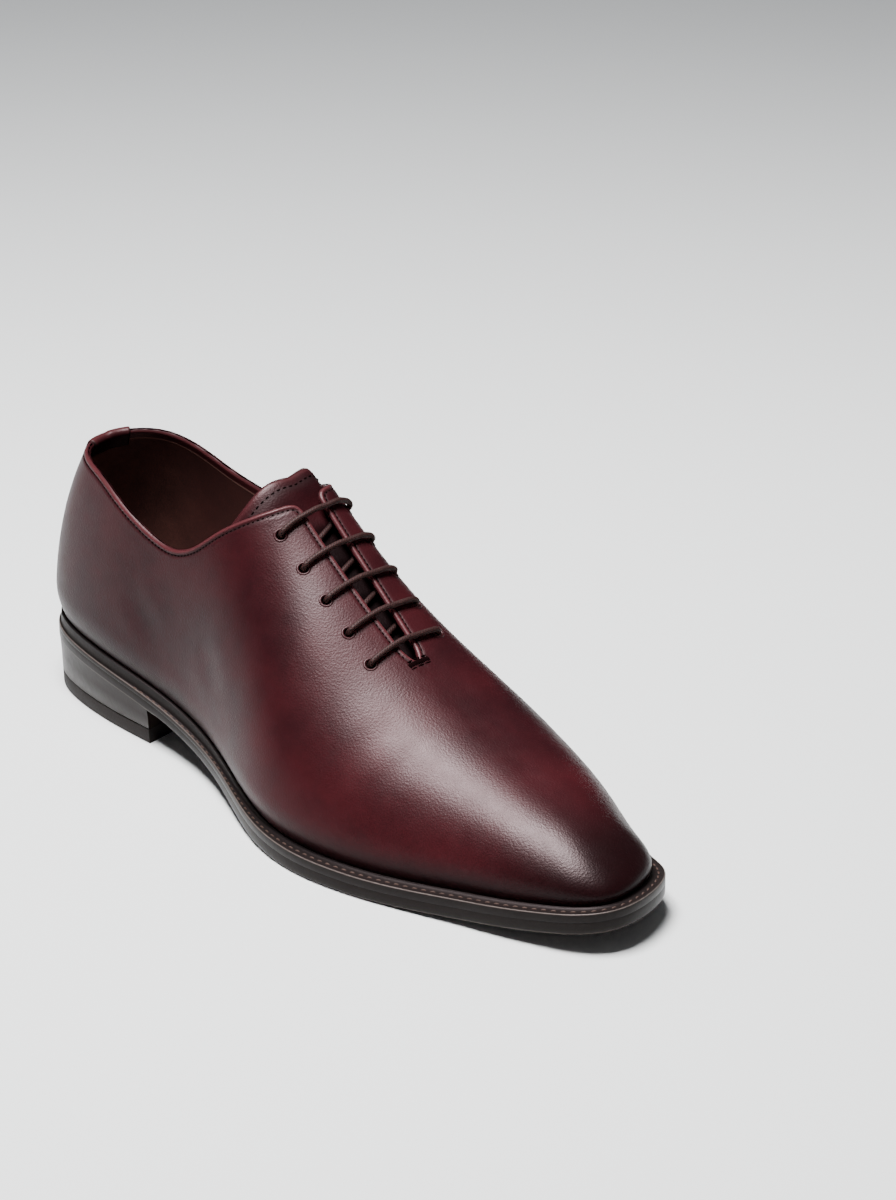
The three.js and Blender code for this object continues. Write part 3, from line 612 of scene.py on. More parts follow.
upperLook = {
    "bead": 0.14, "grooveAt": 2.25, "groove": 0.22, "edgeRows": [0, 0.1, 0.3, 0.62, 1.1, 1.5, 1.85, 2.25, 2.65, 3.1, 4.0, 5.4],
    "outerRows": 50, "innerRows": 22,
    "spans": [(0, 2, 26), (2, 4.8, 40), (4.8, 5.95, 56), (5.95, 8.3, 48), (8.3, 13, 50), (13, 15, 44)],
    # soft creases: start and end as x and side along the surface, half width, depth
    "creases": [
        ((205, -46, 20), (214, -20, 47), 5.0, 0.30), ((192, -47, 22), (203, -16, 55), 6.0, 0.30),
        ((214, 26, 46), (206, 46, 24), 5.0, 0.28), ((200, 22, 54), (191, 42, 28), 6.0, 0.28),
        ((110, -31, 56), (132, -30, 40), 7.0, 0.35), ((66, -33, 62), (84, -32, 46), 6.0, 0.30),
        ((118, 26, 60), (138, 30, 42), 7.0, 0.35),
    ],
}


def creaseDepth(p):
    total = np.zeros(p.shape[:-1])
    for start, end, width, depth in upperLook["creases"]:
        a, b = np.array(start, float), np.array(end, float)
        share = np.clip(((p - a) @ (b - a)) / ((b - a) @ (b - a)), 0, 1)
        away = np.linalg.norm(p - (a + share[..., None] * (b - a)), axis=-1)
        fade = np.sin(np.clip(share, 0.0, 1.0) * math.pi) ** 0.7
        q = away / width
        total += depth * fade * (-np.exp(-q * q) + 0.5 * np.exp(-((q - 1.7) / 0.8) ** 2))
    return total


def rimOffset(s):
    look = upperLook
    roll = 1 - np.clip(s / (wall / 2), 0, 1)
    edge = -wall / 2 * (1 - np.sqrt(np.maximum(1 - roll ** 2, 0)))
    edge += look["bead"] * np.exp(-((s - 1.1) / 0.7) ** 2)
    edge -= look["groove"] * np.exp(-((s - look["grooveAt"]) / 0.45) ** 2)
    return edge + 0.08 * np.exp(-((s - 3.4) / 0.7) ** 2)


def sideStations():
    ts = []
    for low, high, count in upperLook["spans"]:
        ts += list(np.linspace(low, high, count, endpoint=False))
    return np.array(ts)


sideTs = sideStations()
loopTs = np.concatenate([sideTs, [toe], fullTurn - sideTs[1:][::-1]])
loopEnds = trimTurn(loopTs)
openCount = int(np.nonzero(loopEnds[:len(sideTs)] >= half)[0][0])  # columns before the throat closes
edgeTs = np.concatenate([fullTurn - sideTs[1:openCount][::-1], sideTs[:openCount]])
edgeEnds = trimTurn(edgeTs)
edgeLine = lastPoint(edgeTs, edgeEnds)
edgeNormal = lastNormal(edgeTs, edgeEnds)


def resample(points, step):
    gone = np.concatenate([[0], np.cumsum(np.linalg.norm(np.diff(points, axis=0), axis=1))])
    at = np.arange(0, gone[-1], step)
    return np.stack([np.interp(at, gone, points[:, k]) for k in range(3)], -1)


def edgeDistance(points):
    line = resample(edgeLine, 0.15)
    tree = KDTree(len(line))
    for i, point in enumerate(line):
        tree.insert(Vector(point), i)
    tree.balance()
    flat = points.reshape(-1, 3)
    return np.array([tree.find(Vector(p))[2] for p in flat]).reshape(points.shape[:-1])


def ribRows(t, end, edgeRows, count):
    turns = end * (1 - np.linspace(0, 1, 401) ** 3)
    p = lastPoint(t, turns)
    s = np.concatenate([[0], np.cumsum(np.linalg.norm(np.diff(p, axis=0), axis=1))])
    rows = np.concatenate([edgeRows, np.linspace(edgeRows[-1], s[-1], count + 1)[1:]])
    return np.interp(rows, s, turns)


def buildUpper():
    look = upperLook
    outerTurns = np.array([ribRows(t, e, look["edgeRows"], look["outerRows"]) for t, e in zip(loopTs, loopEnds)])
    innerTurns = np.array([ribRows(t, e, look["edgeRows"], look["innerRows"]) for t, e in zip(loopTs, loopEnds)])
    ts = loopTs[:, None]
    outerBase, innerBase = lastPoint(ts, outerTurns), lastPoint(ts, innerTurns)
    outerEdge, innerEdge = edgeDistance(outerBase), edgeDistance(innerBase)
    shut = (loopEnds >= half)
    outerLift = rimOffset(outerEdge) + creaseDepth(outerBase)
    roll = 1 - np.clip(innerEdge / (wall / 2), 0, 1)
    innerDepth = wall - wall / 2 * (1 - np.sqrt(np.maximum(1 - roll ** 2, 0)))
    outer = outerBase + lastNormal(ts, outerTurns) * outerLift[..., None]
    inner = innerBase - lastNormal(ts, innerTurns) * innerDepth[..., None]
    columns, outerRows, innerRows = len(loopTs), outer.shape[1], inner.shape[1]
    # rows run from the feather line up to the edge and down inside again
    grid = np.concatenate([outer[:, ::-1], inner], 1)
    rows = outerRows + innerRows
    away = np.concatenate([outerEdge[:, ::-1], innerEdge], 1)
    faces, paintOf = [], []
    for i in range(columns):
        n = (i + 1) % columns
        for j in range(rows - 1):
            if j == outerRows - 1:
                continue
            faces.append((i * rows + j, n * rows + j, n * rows + j + 1, i * rows + j + 1))
            paintOf.append(0 if j < outerRows or away[i, j + 1] < 1.3 else 1)
        faces.append((n * rows, i * rows, i * rows + rows - 1, n * rows + rows - 1))
        paintOf.append(1)
        if shut[i] != shut[n]:
            o, c = (i, n) if shut[n] else (n, i)
            tri = (o * rows + outerRows - 1, c * rows + outerRows - 1, c * rows + outerRows)
            faces.append(tri if o == i else tri[::-1])
            paintOf.append(0)
    x, z = grid[..., 0], grid[..., 2]
    over = z - featherZ(x)
    burnishAndShade = 0.85 * smooth(x, 238, 292) * smooth(x - over * 1.2, 205, 268)
    burnishAndShade = np.maximum(burnishAndShade, 0.8 * (1 - smooth(over, 0, 13)))
    burnishAndShade = np.maximum(burnishAndShade, 0.35 * (1 - smooth(x, 6, 46)))
    # bead marks the rolled edge, where the calf finish paints a highlight.
    bead = np.exp(-((away - 0.8) / 0.55) ** 2)
    seam = np.exp(-((away - look["grooveAt"]) / 0.3) ** 2)
    marks = np.stack([burnishAndShade, bead, seam, np.ones_like(seam)], -1).reshape(-1, 4)
    plan = np.stack([away, 0 * away, x], -1).reshape(-1, 3)
    piece = makeMesh("upper_leather", grid.reshape(-1, 3), faces, [calfSkin, liningSkin], "upper",
                     marks, plan, paintOf=paintOf)
    mesh = piece.data
    work = bmesh.new()
    work.from_mesh(mesh)
    bmesh.ops.remove_doubles(work, verts=work.verts, dist=2e-6)
    bmesh.ops.dissolve_degenerate(work, dist=1e-7, edges=work.edges)
    bmesh.ops.recalc_face_normals(work, faces=work.faces)
    work.to_mesh(mesh)
    work.free()
    return piece


upper = buildUpper()
print("upper built", len(upper.data.polygons))

# Eyelets: plain punched holes with a pressed rim

eyeletLook = {"hole": 4.2, "rim": 0.42, "sides": 28}


def eyeletAt(share, side):
    t = sideRib(ribAtRidge(share), side)
    turn = turnAside(t, last["eyeletSpread"])
    at, n = lastPoint(t, turn), lastNormal(t, turn)
    inward = unit(lastPoint(t, min(turn + 0.05, half)) - at)
    return {"at": at, "normal": n, "inward": inward}


eyeletPairs = [(eyeletAt(share, -1), eyeletAt(share, 1)) for share in last["eyelets"]]


def punchEyelets():
    look = eyeletLook
    work = bmesh.new()
    rimVerts, rimFaces = [], []
    for hole in [h for pair in eyeletPairs for h in pair]:
        n = hole["normal"]
        a = unit(hole["inward"] - n * (hole["inward"] @ n))
        b = np.cross(n, a)
        ring = np.arange(look["sides"]) * 2 * math.pi / look["sides"]
        made = []
        for depth in (3.5, -6.0):
            made.append([work.verts.new(((hole["at"] + n * depth + (a * math.cos(q) + b * math.sin(q)) * look["hole"] / 2
                                          + startAt) / 1000).tolist()) for q in ring])
        for k in range(look["sides"]):
            m = (k + 1) % look["sides"]
            work.faces.new((made[0][k], made[1][k], made[1][m], made[0][m]))
        work.faces.new(made[0])
        work.faces.new(made[1][::-1])
        first = len(rimVerts)
        small = np.arange(8) * 2 * math.pi / 8
        for q in ring:
            out = a * math.cos(q) + b * math.sin(q)
            centre = hole["at"] + out * (look["hole"] / 2 + 0.12) - n * 0.12
            for w in small:
                rimVerts.append(centre + (out * math.cos(w) * 1.25 + n * math.sin(w) * 0.9) * look["rim"])
        for k in range(look["sides"]):
            m = (k + 1) % look["sides"]
            for w in range(8):
                v = (w + 1) % 8
                rimFaces.append((first + k * 8 + w, first + m * 8 + w, first + m * 8 + v, first + k * 8 + v))
    bmesh.ops.recalc_face_normals(work, faces=work.faces)
    mesh = bpy.data.meshes.new("punch")
    work.to_mesh(mesh)
    work.free()
    punch = bpy.data.objects.new("punch", mesh)
    bpy.context.scene.collection.objects.link(punch)
    cut = upper.modifiers.new("punch", "BOOLEAN")
    cut.operation = "DIFFERENCE"
    cut.solver = "EXACT"
    cut.object = punch
    bpy.context.view_layer.objects.active = upper
    bpy.ops.object.modifier_apply(modifier="punch")
    bpy.data.objects.remove(punch)
    upper.data.set_sharp_from_angle(angle=math.radians(50))
    rimVerts = np.array(rimVerts)
    # The rims carry some burnish and a little of the bead mark, which paints a highlight.
    marks = np.tile([0.45, 0.25, 0.0, 1.0], (len(rimVerts), 1))
    rims = makeMesh("eyelet_rims", rimVerts, rimFaces, calfSkin, None, marks)
    return rims


punchEyelets()
print("eyelets punched")

# Heel strip: a narrow piece over the heel's top edge

stripLook = {"width": 17.5, "drop": 26.0, "inside": 7.0, "lift": 0.95, "edge": 0.25}


stripTs = np.linspace(0, 2, 81)
stripAside = np.abs(lastPoint(stripTs, trimTurn(stripTs))[:, 1])


def heelRib(aside):
    t = float(np.interp(abs(aside), stripAside, stripTs))
    return (fullTurn - t) % fullTurn if aside < 0 else t


def railPoint(t, v, lift):
    end = float(trimTurn(t)[0])
    turns = end * (1 - np.linspace(0, 1, 301))
    p = lastPoint(t, turns)
    s = np.concatenate([[0], np.cumsum(np.linalg.norm(np.diff(p, axis=0), axis=1))])
    r = wall / 2
    if abs(v) < r:
        base = float(np.interp(r, s, turns))
        n = lastNormal(t, base)
        up = unit(lastPoint(t, end) - lastPoint(t, base))
        centre = lastPoint(t, base) - n * r
        angle = v / r * half
        return centre + (n * math.sin(angle) + up * math.cos(angle)) * (r + lift)
    turn = float(np.interp(abs(v), s, turns))
    base, n = lastPoint(t, turn), lastNormal(t, turn)
    return base + n * lift if v > 0 else base - n * (wall + lift)


def buildStrip():
    look = stripLook
    stops = [look["drop"] + 0.5, look["drop"], look["drop"] - 0.3, look["drop"] - 0.9]
    stops += list(np.linspace(look["drop"] - 2, 1.6, 20)) + list(np.linspace(1.1, -1.1, 9))
    stops += list(np.linspace(-1.6, -look["inside"] + 0.8, 6)) + [-look["inside"], -look["inside"] - 0.3]
    sides = np.concatenate([[-1.03, -1.0, -0.975, -0.93], np.linspace(-0.85, 0.85, 17), [0.93, 0.975, 1.0, 1.03]])
    points, marks = [], []
    for i, v in enumerate(stops):
        down = min(max(v, 0) / look["drop"], 1)
        wide = look["width"] / 2 * math.sqrt(1 - 0.9 * down ** 3)
        endLift = {0: 0.0, 1: 0.55, 2: 0.85}.get(i, {len(stops) - 1: 0.0, len(stops) - 2: 0.7}.get(i, 1.0))
        for q in sides:
            edge = {1.03: -0.25, 1.0: 0.45, 0.975: 0.85}.get(round(abs(float(q)), 3), 1.0)
            lift = look["lift"] * min(edge, endLift) if edge > 0 else -0.3
            points.append(railPoint(heelRib(float(q) * wide), v, lift))
            rim = 1.0 if abs(q) > 0.97 or i < 3 else 0.0
            # The second mark paints a highlight along the roll over the topline.
            marks.append([0.35 + 0.5 * rim, math.exp(-((v - 0.6) / 0.8) ** 2) * 0.9, rim * 0.6, 1.0])
    faces = [f[::-1] for f in gridFaces(len(stops), len(sides))]
    piece = makeMesh("heel_strip_leather", np.array(points), faces, stripSkin, "heel_strip", np.array(marks))
    work = bmesh.new()
    work.from_mesh(piece.data)
    bmesh.ops.recalc_face_normals(work, faces=work.faces)
    work.to_mesh(piece.data)
    work.free()
    return piece


buildStrip()
print("heel strip built")

# Tongue

tongueLook = {"top": 0.406, "end": 0.66, "halfTop": 44, "halfEnd": 14, "shoulder": 0.32, "thick": 1.8,
              "rows": 36, "columns": 44, "stitchIn": 3.0}
laceWidth = 2.2
laceRoom = wall + laceWidth + 4 * fit


def tonguePlace(down, across):
    look = tongueLook
    first, end = ribAtRidge(look["top"]), ribAtRidge(look["end"])
    rib = first + (end - first) * down - look["shoulder"] * abs(across) ** 2.5 * (1 - down) ** 2
    t = sideRib(rib, -1 if across <= 0 else 1)
    wide = look["halfTop"] + (look["halfEnd"] - look["halfTop"]) * float(smooth(down, 0.1, 0.75))
    turn = turnAlong(t, wide * abs(across)) if across else half
    sink = float(smooth(rib - first, 0.15, 0.6))
    n = lastNormal(t, turn)
    return lastPoint(t, turn) - n * (wall + 2 * fit + (laceRoom - wall - 2 * fit) * sink), n


def buildTongue():
    look = tongueLook
    downs = np.concatenate([[0, 0.006, 0.014, 0.024, 0.034], np.linspace(0.045, 1, look["rows"])])
    acrosses = np.linspace(-1, 1, look["columns"] + 1)
    thick = look["thick"]
    base, n = (np.array(v) for v in zip(*[[v for v in zip(*[tonguePlace(float(d), float(a)) for a in acrosses])]
                                         for d in downs]))
    edge = np.minimum(downs / 0.02, 1)[:, None, None]
    roll = thick / 2 * (1 - np.sqrt(np.maximum(1 - (1 - edge) ** 2, 0)))
    groove = 0.18 * np.exp(-((downs[:, None, None] - 0.041) / 0.006) ** 2)
    top, under = base - n * (roll + groove), base - n * (thick - roll)
    rows, columns = top.shape[:2]
    points = np.concatenate([top.reshape(-1, 3), under.reshape(-1, 3)])
    faces = gridFaces(rows, columns)
    base = rows * columns
    faces += [tuple(base + k for k in f[::-1]) for f in gridFaces(rows, columns)]
    for i in range(rows - 1):
        for j, flip in ((0, False), (columns - 1, True)):
            a, b = i * columns + j, (i + 1) * columns + j
            face = (a, b, base + b, base + a)
            faces.append(face[::-1] if flip else face)
    for j in range(columns - 1):
        a, b = (rows - 1) * columns + j, (rows - 1) * columns + j + 1
        faces.append((a, b, base + b, base + a))
        faces.append((j + 1, j, base + j, base + j + 1))
    down = np.repeat(downs, columns)
    # The first mark darkens the tongue from a little below its top: painted shade where it lies in the throat gap
    # under the facings and lace. The second mark paints a soft highlight along the top edge.
    marks = np.stack([0.1 + 0.9 * smooth(down, 0.14, 0.3), 0.4 * np.exp(-((down - 0.012) / 0.009) ** 2), np.exp(-((down - 0.041) / 0.005) ** 2),
                      np.ones_like(down)], -1)
    marks = np.concatenate([marks, marks * [1, 0, 0, 1]])
    piece = makeMesh("tongue_leather", points, faces, tongueSkin, "tongue", marks)
    work = bmesh.new()
    work.from_mesh(piece.data)
    bmesh.ops.remove_doubles(work, verts=work.verts, dist=1e-6)
    bmesh.ops.recalc_face_normals(work, faces=work.faces)
    work.to_mesh(piece.data)
    work.free()
    return piece


buildTongue()
print("tongue built")

# Sole: flat pieces between levels, each level an edge place, a height and the strength of a painted highlight line on
# the edge

soleLook = {"weltUnder": 6, "insoleThick": 2.4, "topLiftThick": 6, "heelLength": 76, "heelTaper": 0.6,
            "breastHollow": 3, "stations": 150}


def ledge(t):
    u = np.where(t <= toe, t, fullTurn - t) / toe
    toWaist, toFore = smooth(u, 0.18, 0.34), smooth(u, 0.36, 0.56)
    return last["ledgeHeel"] + (last["ledgeWaist"] - last["ledgeHeel"]) * toWaist + (last["ledgeFore"] - last["ledgeWaist"]) * toFore


def planPlace(t, out):
    nx, ny = outward(t)
    return featherX(t) + nx * out, featherY(t) + ny * out


def plate(name, levels, stations, across, paint, node, hollow=None, slope=None):
    stations = np.asarray(stations, float)
    share = np.linspace(0, 1, across + 1)
    grids, plans = [], []
    for out, height, edgeHighlight in levels:
        ax, ay = planPlace(stations, out(stations))
        bx, by = planPlace(fullTurn - stations, out(fullTurn - stations))
        x = ax[:, None] + (bx - ax)[:, None] * share
        y = ay[:, None] + (by - ay)[:, None] * share
        if hollow:
            x[-1] = hollow[0] - hollow[1] * 4 * share * (1 - share)
        z = height(x)
        grids.append(np.stack([x, y, z], -1))
    rows, columns = len(stations), across + 1
    size = rows * columns
    points = np.concatenate([g.reshape(-1, 3) for g in grids])
    low, high = points[:, 2].min(), points[:, 2].max()
    plans = np.concatenate([np.stack([np.zeros(size), np.full(size, float(k) / max(len(levels) - 1, 1) if k else -1.0),
                                      np.full(size, float(levels[k][2]))], -1) for k in range(len(levels))])
    top = (len(levels) - 1) * size
    faces = [tuple(top + k for k in f) for f in gridFaces(rows, columns)] + [f[::-1] for f in gridFaces(rows, columns)]
    for k in range(len(levels) - 1):
        a, b = k * size, (k + 1) * size
        for i in range(rows - 1):
            p, q = i * columns, (i + 1) * columns
            faces.append((a + p, a + q, b + q, b + p))
            p, q = p + columns - 1, q + columns - 1
            faces.append((a + q, a + p, b + p, b + q))
        for j in range(columns - 1):
            e = (rows - 1) * columns + j
            faces.append((a + e, a + e + 1, b + e + 1, b + e))
            faces.append((a + j + 1, a + j, b + j, b + j + 1))
    piece = makeMesh(name, points, faces, paint, node, None, plans)
    work = bmesh.new()
    work.from_mesh(piece.data)
    bmesh.ops.remove_doubles(work, verts=work.verts, dist=1e-6)
    bmesh.ops.dissolve_degenerate(work, dist=1e-7, edges=work.edges)
    bmesh.ops.recalc_face_normals(work, faces=work.faces)
    work.to_mesh(piece.data)
    work.free()
    piece.data.set_sharp_from_angle(angle=math.radians(45))
    return piece


def inset(value):
    return lambda t: ledge(t) - value


def seat(value):  # a rounded lower edge ahead of the heel, a sharp one over it
    return lambda t: ledge(t) - value * (0.06 + 0.94 * smooth(planPlace(t, ledge(t))[0], 75, 84))


def over(height, extra):
    return lambda x: height(x) + extra


soleTs = np.concatenate([np.linspace(0, 1.5, 22, endpoint=False), np.linspace(1.5, 13, 90, endpoint=False),
                         np.linspace(13, 15, 36)])
# The third value of each level sets the painted highlight on the edge.
plate("outsole_leather", [
    (seat(1.3), over(underside, 0.0), 0), (seat(0.75), over(underside, 0.12), 0),
    (seat(0.25), over(underside, 0.5), 0.35), (seat(0.02), over(underside, 1.1), 0),
    (inset(0.0), over(underside, 2.0), 0), (inset(0.0), over(outsoleTop, 0.1), 0),
    (inset(0.05), over(outsoleTop, 0.24), 0), (inset(0.6), over(outsoleTop, 0.25), 0),
], soleTs, 10, edgeSkin, "outsole")


def weltRing():
    def rand(t):
        rise = (last["ledgeFore"] - ledge(t)) / (last["ledgeFore"] - last["ledgeWaist"])
        return 0.5 + 0.9 * np.minimum(rise, 1)
    under = outsoleTop
    # The third value of each level sets the painted highlight on the edge.
    profile = [
        (inset(0.6), over(under, 0.27), 0), (inset(0.05), over(under, 0.28), 0),
        (inset(0.0), over(under, 0.4), 0), (inset(0.03), over(ledgeTop, -0.6), 0),
        (inset(0.09), over(ledgeTop, -0.34), 0.15), (inset(0.24), over(ledgeTop, -0.1), 1.0),
        (inset(0.4), over(ledgeTop, 0.0), 0.45), (inset(0.62), over(ledgeTop, -0.05), 0.0),
        (lambda t: rand(t) + (ledge(t) - rand(t)) * 0.62, over(ledgeTop, -0.12), 0),
        (lambda t: rand(t) + (ledge(t) - rand(t)) * 0.35, over(ledgeTop, -0.1), 0),
        (lambda t: rand(t) + 0.25, over(ledgeTop, 0.0), 0), (lambda t: rand(t) - 0.02, over(ledgeTop, 0.3), 0),
        (lambda t: rand(t) - 0.1, lambda x: ledgeTop(x) + randThick(x) * 0.55, 0),
        (lambda t: rand(t) - 0.2, lambda x: weltTop(x) - 0.12, 0.15),
        (lambda t: rand(t) - 0.5, over(weltTop, 0.06), 0), (lambda t: rand(t) - 1.2, over(weltTop, 0.0), 0),
        (lambda t: 0 * t - soleLook["weltUnder"], over(weltTop, 0.0), 0),
        (lambda t: 0 * t - soleLook["weltUnder"], over(under, fit), 0),
    ]
    loop = np.concatenate([soleTs, fullTurn - soleTs[1:-1][::-1]])
    rings, plans = [], []
    for k, (out, height, edgeHighlight) in enumerate(profile):
        x, y = planPlace(loop, out(loop))
        rings.append(np.stack([x, y, height(x)], -1))
        plans.append(np.stack([0 * x, 0 * x + 0.2 + 0.04 * k, 0 * x + edgeHighlight], -1))
    points = np.stack(rings, 1)
    plans = np.stack(plans, 1)
    n, m = points.shape[:2]
    faces, paintOf = [], []
    for i in range(n):
        j = (i + 1) % n
        for k in range(m):
            q = (k + 1) % m
            faces.append((i * m + k, j * m + k, j * m + q, i * m + q))
            paintOf.append(1 if 7 <= k <= 14 else 0)
    piece = makeMesh("welt_leather", points.reshape(-1, 3), faces, [edgeSkin, weltSkin], "welt", None,
                     plans.reshape(-1, 3), paintOf=paintOf)
    piece.data.set_sharp_from_angle(angle=math.radians(55))
    return rand


rand = weltRing()
plate("insole_sock", [
    (lambda t: 0 * t - 6.4, over(outsoleTop, fit), 0), (lambda t: 0 * t - 6.4, over(weltTop, 0.35), 0),
    (lambda t: 0 * t - wall - 0.7, over(weltTop, 0.35), 0), (lambda t: 0 * t - wall - 0.7, over(weltTop, 2.3), 0),
    (lambda t: 0 * t - wall - 1.2, over(weltTop, 2.62), 0), (lambda t: 0 * t - wall - 2.2, over(weltTop, 2.7), 0),
], soleTs, 14, sockSkin, "insole")


def heelStationsFor(reach):
    ts = np.linspace(0.5, 6, 2001)
    x = planPlace(ts, ledge(ts))[0]
    end = float(np.interp(reach, x, ts))
    return np.concatenate([np.linspace(0, 1.2, 22, endpoint=False), np.linspace(1.2, end, 26)])


def heelSide(share, extra=0.0):
    return lambda t: ledge(t) - 0.3 - soleLook["heelTaper"] * share - extra


heelTs = heelStationsFor(soleLook["heelLength"])
lift = soleLook["topLiftThick"]
breast = (soleLook["heelLength"], soleLook["breastHollow"])
plate("heel_block", [
    (heelSide(0.8, 0.25), lambda x: 0 * x + lift + 0.22, 0), (heelSide(0.78), lambda x: 0 * x + lift + 0.5, 0),
    (heelSide(0.4), lambda x: lift * 0.5 + underside(x) * 0.5 + 1.0, 0), (heelSide(0.05, -0.15), over(underside, -0.6), 0),
    (heelSide(0.0, -0.2), over(underside, -0.05), 0),
], heelTs, 14, heelSkin, "heel_stack", breast)
plate("top_lift_rubber", [
    (heelSide(1.3, 0.1), lambda x: 0 * x, 0), (heelSide(1.1), lambda x: 0 * x + 0.3, 0),
    (heelSide(1.0), lambda x: 0 * x + 0.8, 0), (heelSide(0.85), lambda x: 0 * x + lift - 0.3, 0),
    (heelSide(0.8, 0.25), lambda x: 0 * x + lift - 0.02, 0),
], heelTs, 14, rubberSkin, "top_lift", breast)
print("sole built")

# Lace through the eyelets: five bars, slants under the facings


def lacePath():
    radius = laceWidth / 2
    above = radius + 2 * fit
    below = -wall - radius - 2 * fit

    def beside(share, side, aside, height):
        t = sideRib(ribAtRidge(share), side)
        turn = turnAside(t, abs(aside))
        return lastPoint(t, turn) + lastNormal(t, turn) * height

    def through(hole):
        steps = [(2.6, above), (0.6, above * 0.7), (0, -wall / 2), (0.6, below * 0.9), (2.6, below)]
        return [hole["at"] + hole["inward"] * a + hole["normal"] * h for a, h in steps]
    spread, edge = last["eyeletSpread"], last["throatWidth"] / 2
    points = []
    for i, share in enumerate(last["eyelets"]):
        outer, inner = eyeletPairs[i]
        up = through(outer)[::-1]
        points += up[2:] if i == 0 else up
        points.append(beside(share, -1, (spread + edge) / 2, above))
        a, b = beside(share, -1, edge, above), beside(share, 1, edge, above)
        points += [a, (a + b) / 2 + [0, 0, fit], b, beside(share, 1, (spread + edge) / 2, above)]
        if i == len(last["eyelets"]) - 1:
            points += through(inner)[:3]
            break
        points += through(inner)
        step = last["eyelets"][i + 1] - share
        for part, side, aside in ((0.25, 1, 0.55), (0.42, 1, 0.2), (0.58, -1, 0.2), (0.75, -1, 0.55)):
            points.append(beside(share + part * step, side, aside * spread, below))
    return np.array(points)


def tube(name, points, radius, paint, node=None, sides=14, spacing=0.4):
    gone = np.concatenate([[0], np.cumsum(np.linalg.norm(np.diff(points, axis=0), axis=1) ** 0.5)])
    fine = np.linspace(0, gone[-1], 4000)
    path = np.stack([curve(list(zip(gone, points[:, k])), 1, 1)(fine) for k in range(3)], -1)
    path = resample(path, spacing)
    tangent = unit(np.gradient(path, axis=0))
    side = unit(np.cross(tangent[0], [0.3, 0.2, 1]))
    verts, plans = [], []
    turns = np.linspace(0, 1, sides + 1)
    for i, (p, d) in enumerate(zip(path, tangent)):
        side = unit(side - d * (side @ d))
        up = np.cross(d, side)
        for q in turns:
            verts.append(p + (side * math.cos(q * 2 * math.pi) + up * math.sin(q * 2 * math.pi)) * radius)
            plans.append((i * spacing, q, 0))
    faces = gridFaces(len(path), sides + 1)
    faces.append(tuple(range(sides))[::-1])
    faces.append(tuple((len(path) - 1) * (sides + 1) + k for k in range(sides)))
    return makeMesh(name, np.array(verts), faces, paint, node, None, plans)


tube("lace_cord", lacePath(), laceWidth / 2, laceSkin, "lace")
print("lace built")

# Stitches

threadLook = {
    "edge": {"pitch": 1.9, "length": 1.35, "width": 0.5, "height": 0.16, "sink": 0.2, "slant": 0.0},
    "tongue": {"pitch": 2.6, "length": 1.9, "width": 0.55, "height": 0.16, "sink": 0.2},
    "welt": {"pitch": 3.6, "length": 2.5, "width": 0.7, "height": 0.26, "sink": 0.3, "slant": 0.12},
    "tack": {"length": 3.4, "width": 0.6, "height": 0.3, "sink": 0.05},
}


def edgeRow(distance, low, high):
    tangent = unit(np.gradient(edgeLine, axis=0))
    inward = unit(np.cross(edgeNormal, tangent))
    down = lastPoint(edgeTs, np.maximum(edgeEnds - 0.03, 0)) - edgeLine
    inward *= np.sign(np.sum(inward * down, -1, keepdims=True))
    points = edgeLine + inward * distance
    keep = slice(low, high)
    return points[keep], edgeNormal[keep]


aside = np.abs(edgeLine[:, 1])
nearHeel = np.nonzero((edgeLine[:, 0] < 30) & (aside < stripLook["width"] / 2 + 0.6))[0]
for name, low, high in (("stitches_inner", 0, int(nearHeel[0])), ("stitches_outer", int(nearHeel[-1]) + 1, len(edgeTs))):
    points, normals = edgeRow(upperLook["grooveAt"], low, high)
    keep = points[:, 0] < last["throatEnd"] * soleLength - 1.5
    stitchRow(name, points[keep] - normals[keep] * 0.12, normals[keep], threadLook["edge"], threadSkin)

row = [tonguePlace(0.041, float(a)) for a in np.linspace(-0.9, 0.9, 41)]
stitchRow("stitches_tongue", [r[0] for r in row], [r[1] for r in row], threadLook["tongue"], threadSkin)

weltTs = np.linspace(3.4, 26.6, 700)
wx, wy = planPlace(weltTs, rand(weltTs) + (ledge(weltTs) - rand(weltTs)) * 0.5)
stitchRow("stitches_welt", np.stack([wx, wy, ledgeTop(wx) - 0.1], -1), np.tile([0.0, 0.0, 1.0], (len(wx), 1)),
          threadLook["welt"], weltThread)

tackVerts, tackFaces = [], []


def onRidge(x, y):
    t = sideRib(ribAtRidge(x / soleLength), -1 if y < 0 else 1)
    turn = turnAside(t, abs(y)) if abs(y) > 0.05 else half
    return lastPoint(t, turn), lastNormal(t, turn)


tackEnd = last["throatEnd"] * soleLength
zigzag = [onRidge(tackEnd + (1.7 if k % 2 else -0.5), -4.6 + 0.4 * k) for k in range(24)]
zigzag += [onRidge(tackEnd + x, y) for x in (-0.7, 1.9) for y in (-4.8, -1.6, 1.6, 4.8)]
for k in [k for k in range(len(zigzag) - 1) if k not in (23, 27)]:
    capsule(tackVerts, tackFaces, zigzag[k][0], zigzag[k + 1][0], zigzag[k][1], threadLook["tack"])
makeMesh("bar_tack", np.array(tackVerts), tackFaces, threadSkin)
print("stitches built")

# Floor, light and camera

stageLook = {"floor": (0.88, 0.89, 0.89, 1), "far": (0.42, 0.43, 0.44, 1), "world": 0.1, "key": 54.0, "gloss": 165.0}


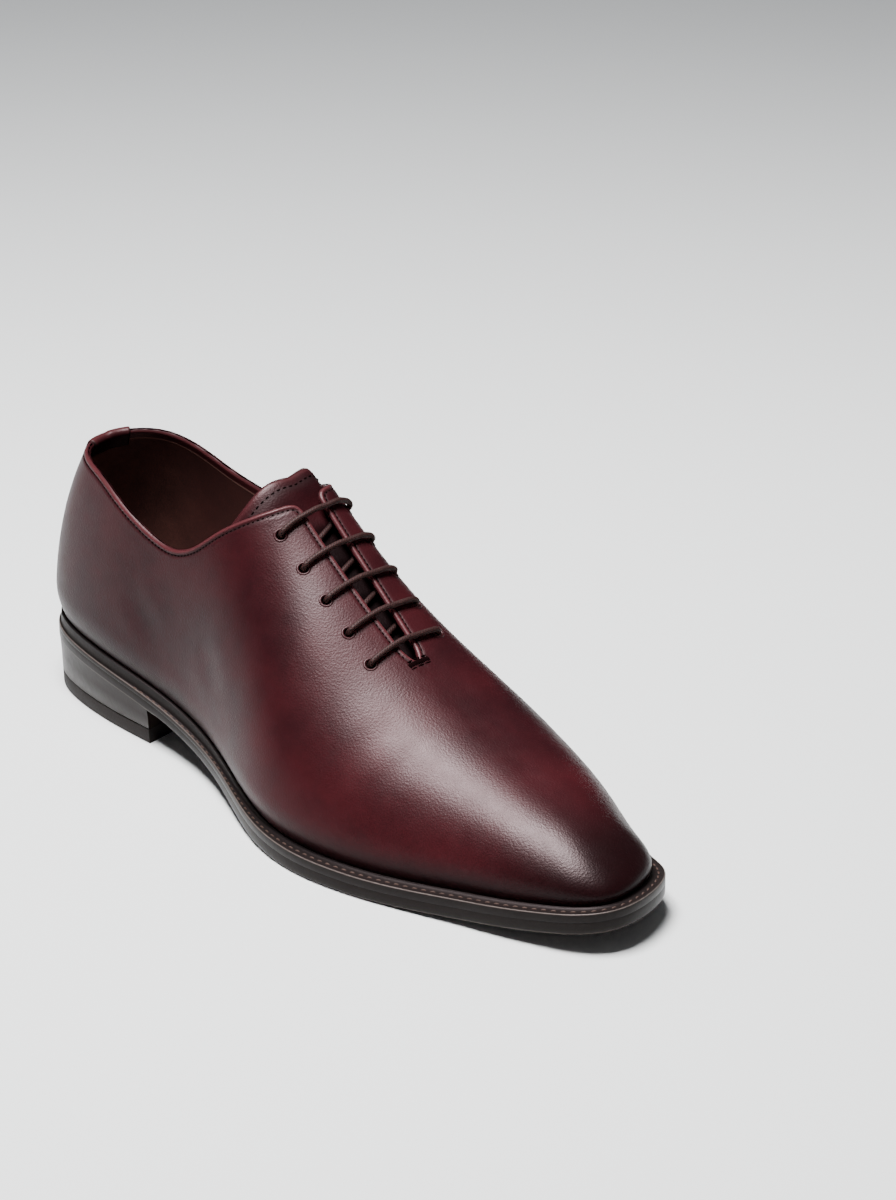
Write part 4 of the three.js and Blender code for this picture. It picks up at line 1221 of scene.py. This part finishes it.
def floorPaint():
    p = Paint("studio_floor", Roughness=0.9, Specular_IOR_Level=0.0)
    x, y = (p.node("ShaderNodeSeparateXYZ", None, {0: p.place()}, k) for k in range(2))
    # The floor darkens away from the camera: painted shade for the light falling off from the lamp.
    away = (y * 0.667 - x * 0.745).step(0.15, 1.15)
    return p.feed(Base_Color=p.mix(stageLook["floor"], stageLook["far"], away))


floorMesh = bpy.data.meshes.new("floor")
floorMesh.from_pydata([(-6, -6, 0), (6, -6, 0), (6, 6, 0), (-6, 6, 0)], [], [(0, 1, 2, 3)])
floor = bpy.data.objects.new("floor", floorMesh)
floorMesh.materials.append(floorPaint())
bpy.context.scene.collection.objects.link(floor)

world = bpy.data.worlds.new("studio")
world.use_nodes = True
world.node_tree.nodes["Background"].inputs["Color"].default_value = (0.9, 0.92, 0.95, 1)
world.node_tree.nodes["Background"].inputs["Strength"].default_value = stageLook["world"]
bpy.context.scene.world = world


def softbox(name, place, at, size, power, sizeY=None):
    light = bpy.data.lights.new(name, "AREA")
    light.shape = "RECTANGLE"
    light.size, light.size_y = size, sizeY or size
    light.energy = power
    lamp = bpy.data.objects.new(name, light)
    lamp.location = place
    lamp.rotation_euler = (Vector(at) - Vector(place)).to_track_quat("-Z", "Y").to_euler()
    bpy.context.scene.collection.objects.link(lamp)
    return lamp


softbox("overhead", (-0.07, -0.2, 1.3), (-0.03, -0.05, 0), 0.48, stageLook["key"], 0.48)
sheen = softbox("overhead_sheen", (-0.06, -0.22, 1.32), (-0.03, -0.05, 0), 0.66, stageLook["gloss"], 0.66)
sheen.data.color = (1.0, 0.75, 0.77)
sheen.visible_diffuse = False

azimuth, elevation = math.radians(48.2), math.radians(25.94)
back = Vector((math.sin(azimuth) * math.cos(elevation), -math.cos(azimuth) * math.cos(elevation), math.sin(elevation)))
target = Vector(((119.8 + startAt[0]) / 1000, (81.8 + startAt[1]) / 1000, 0.040))
camera = bpy.data.cameras.new("camera")
camera.sensor_fit = "VERTICAL"
camera.sensor_height = 24
camera.lens = 3772.9 / 1200 * 24
view = bpy.data.objects.new("camera", camera)
view.location = target + back * 1.45
view.rotation_euler = (-back).to_track_quat("-Z", "Y").to_euler()
bpy.context.scene.collection.objects.link(view)
bpy.context.scene.camera = view
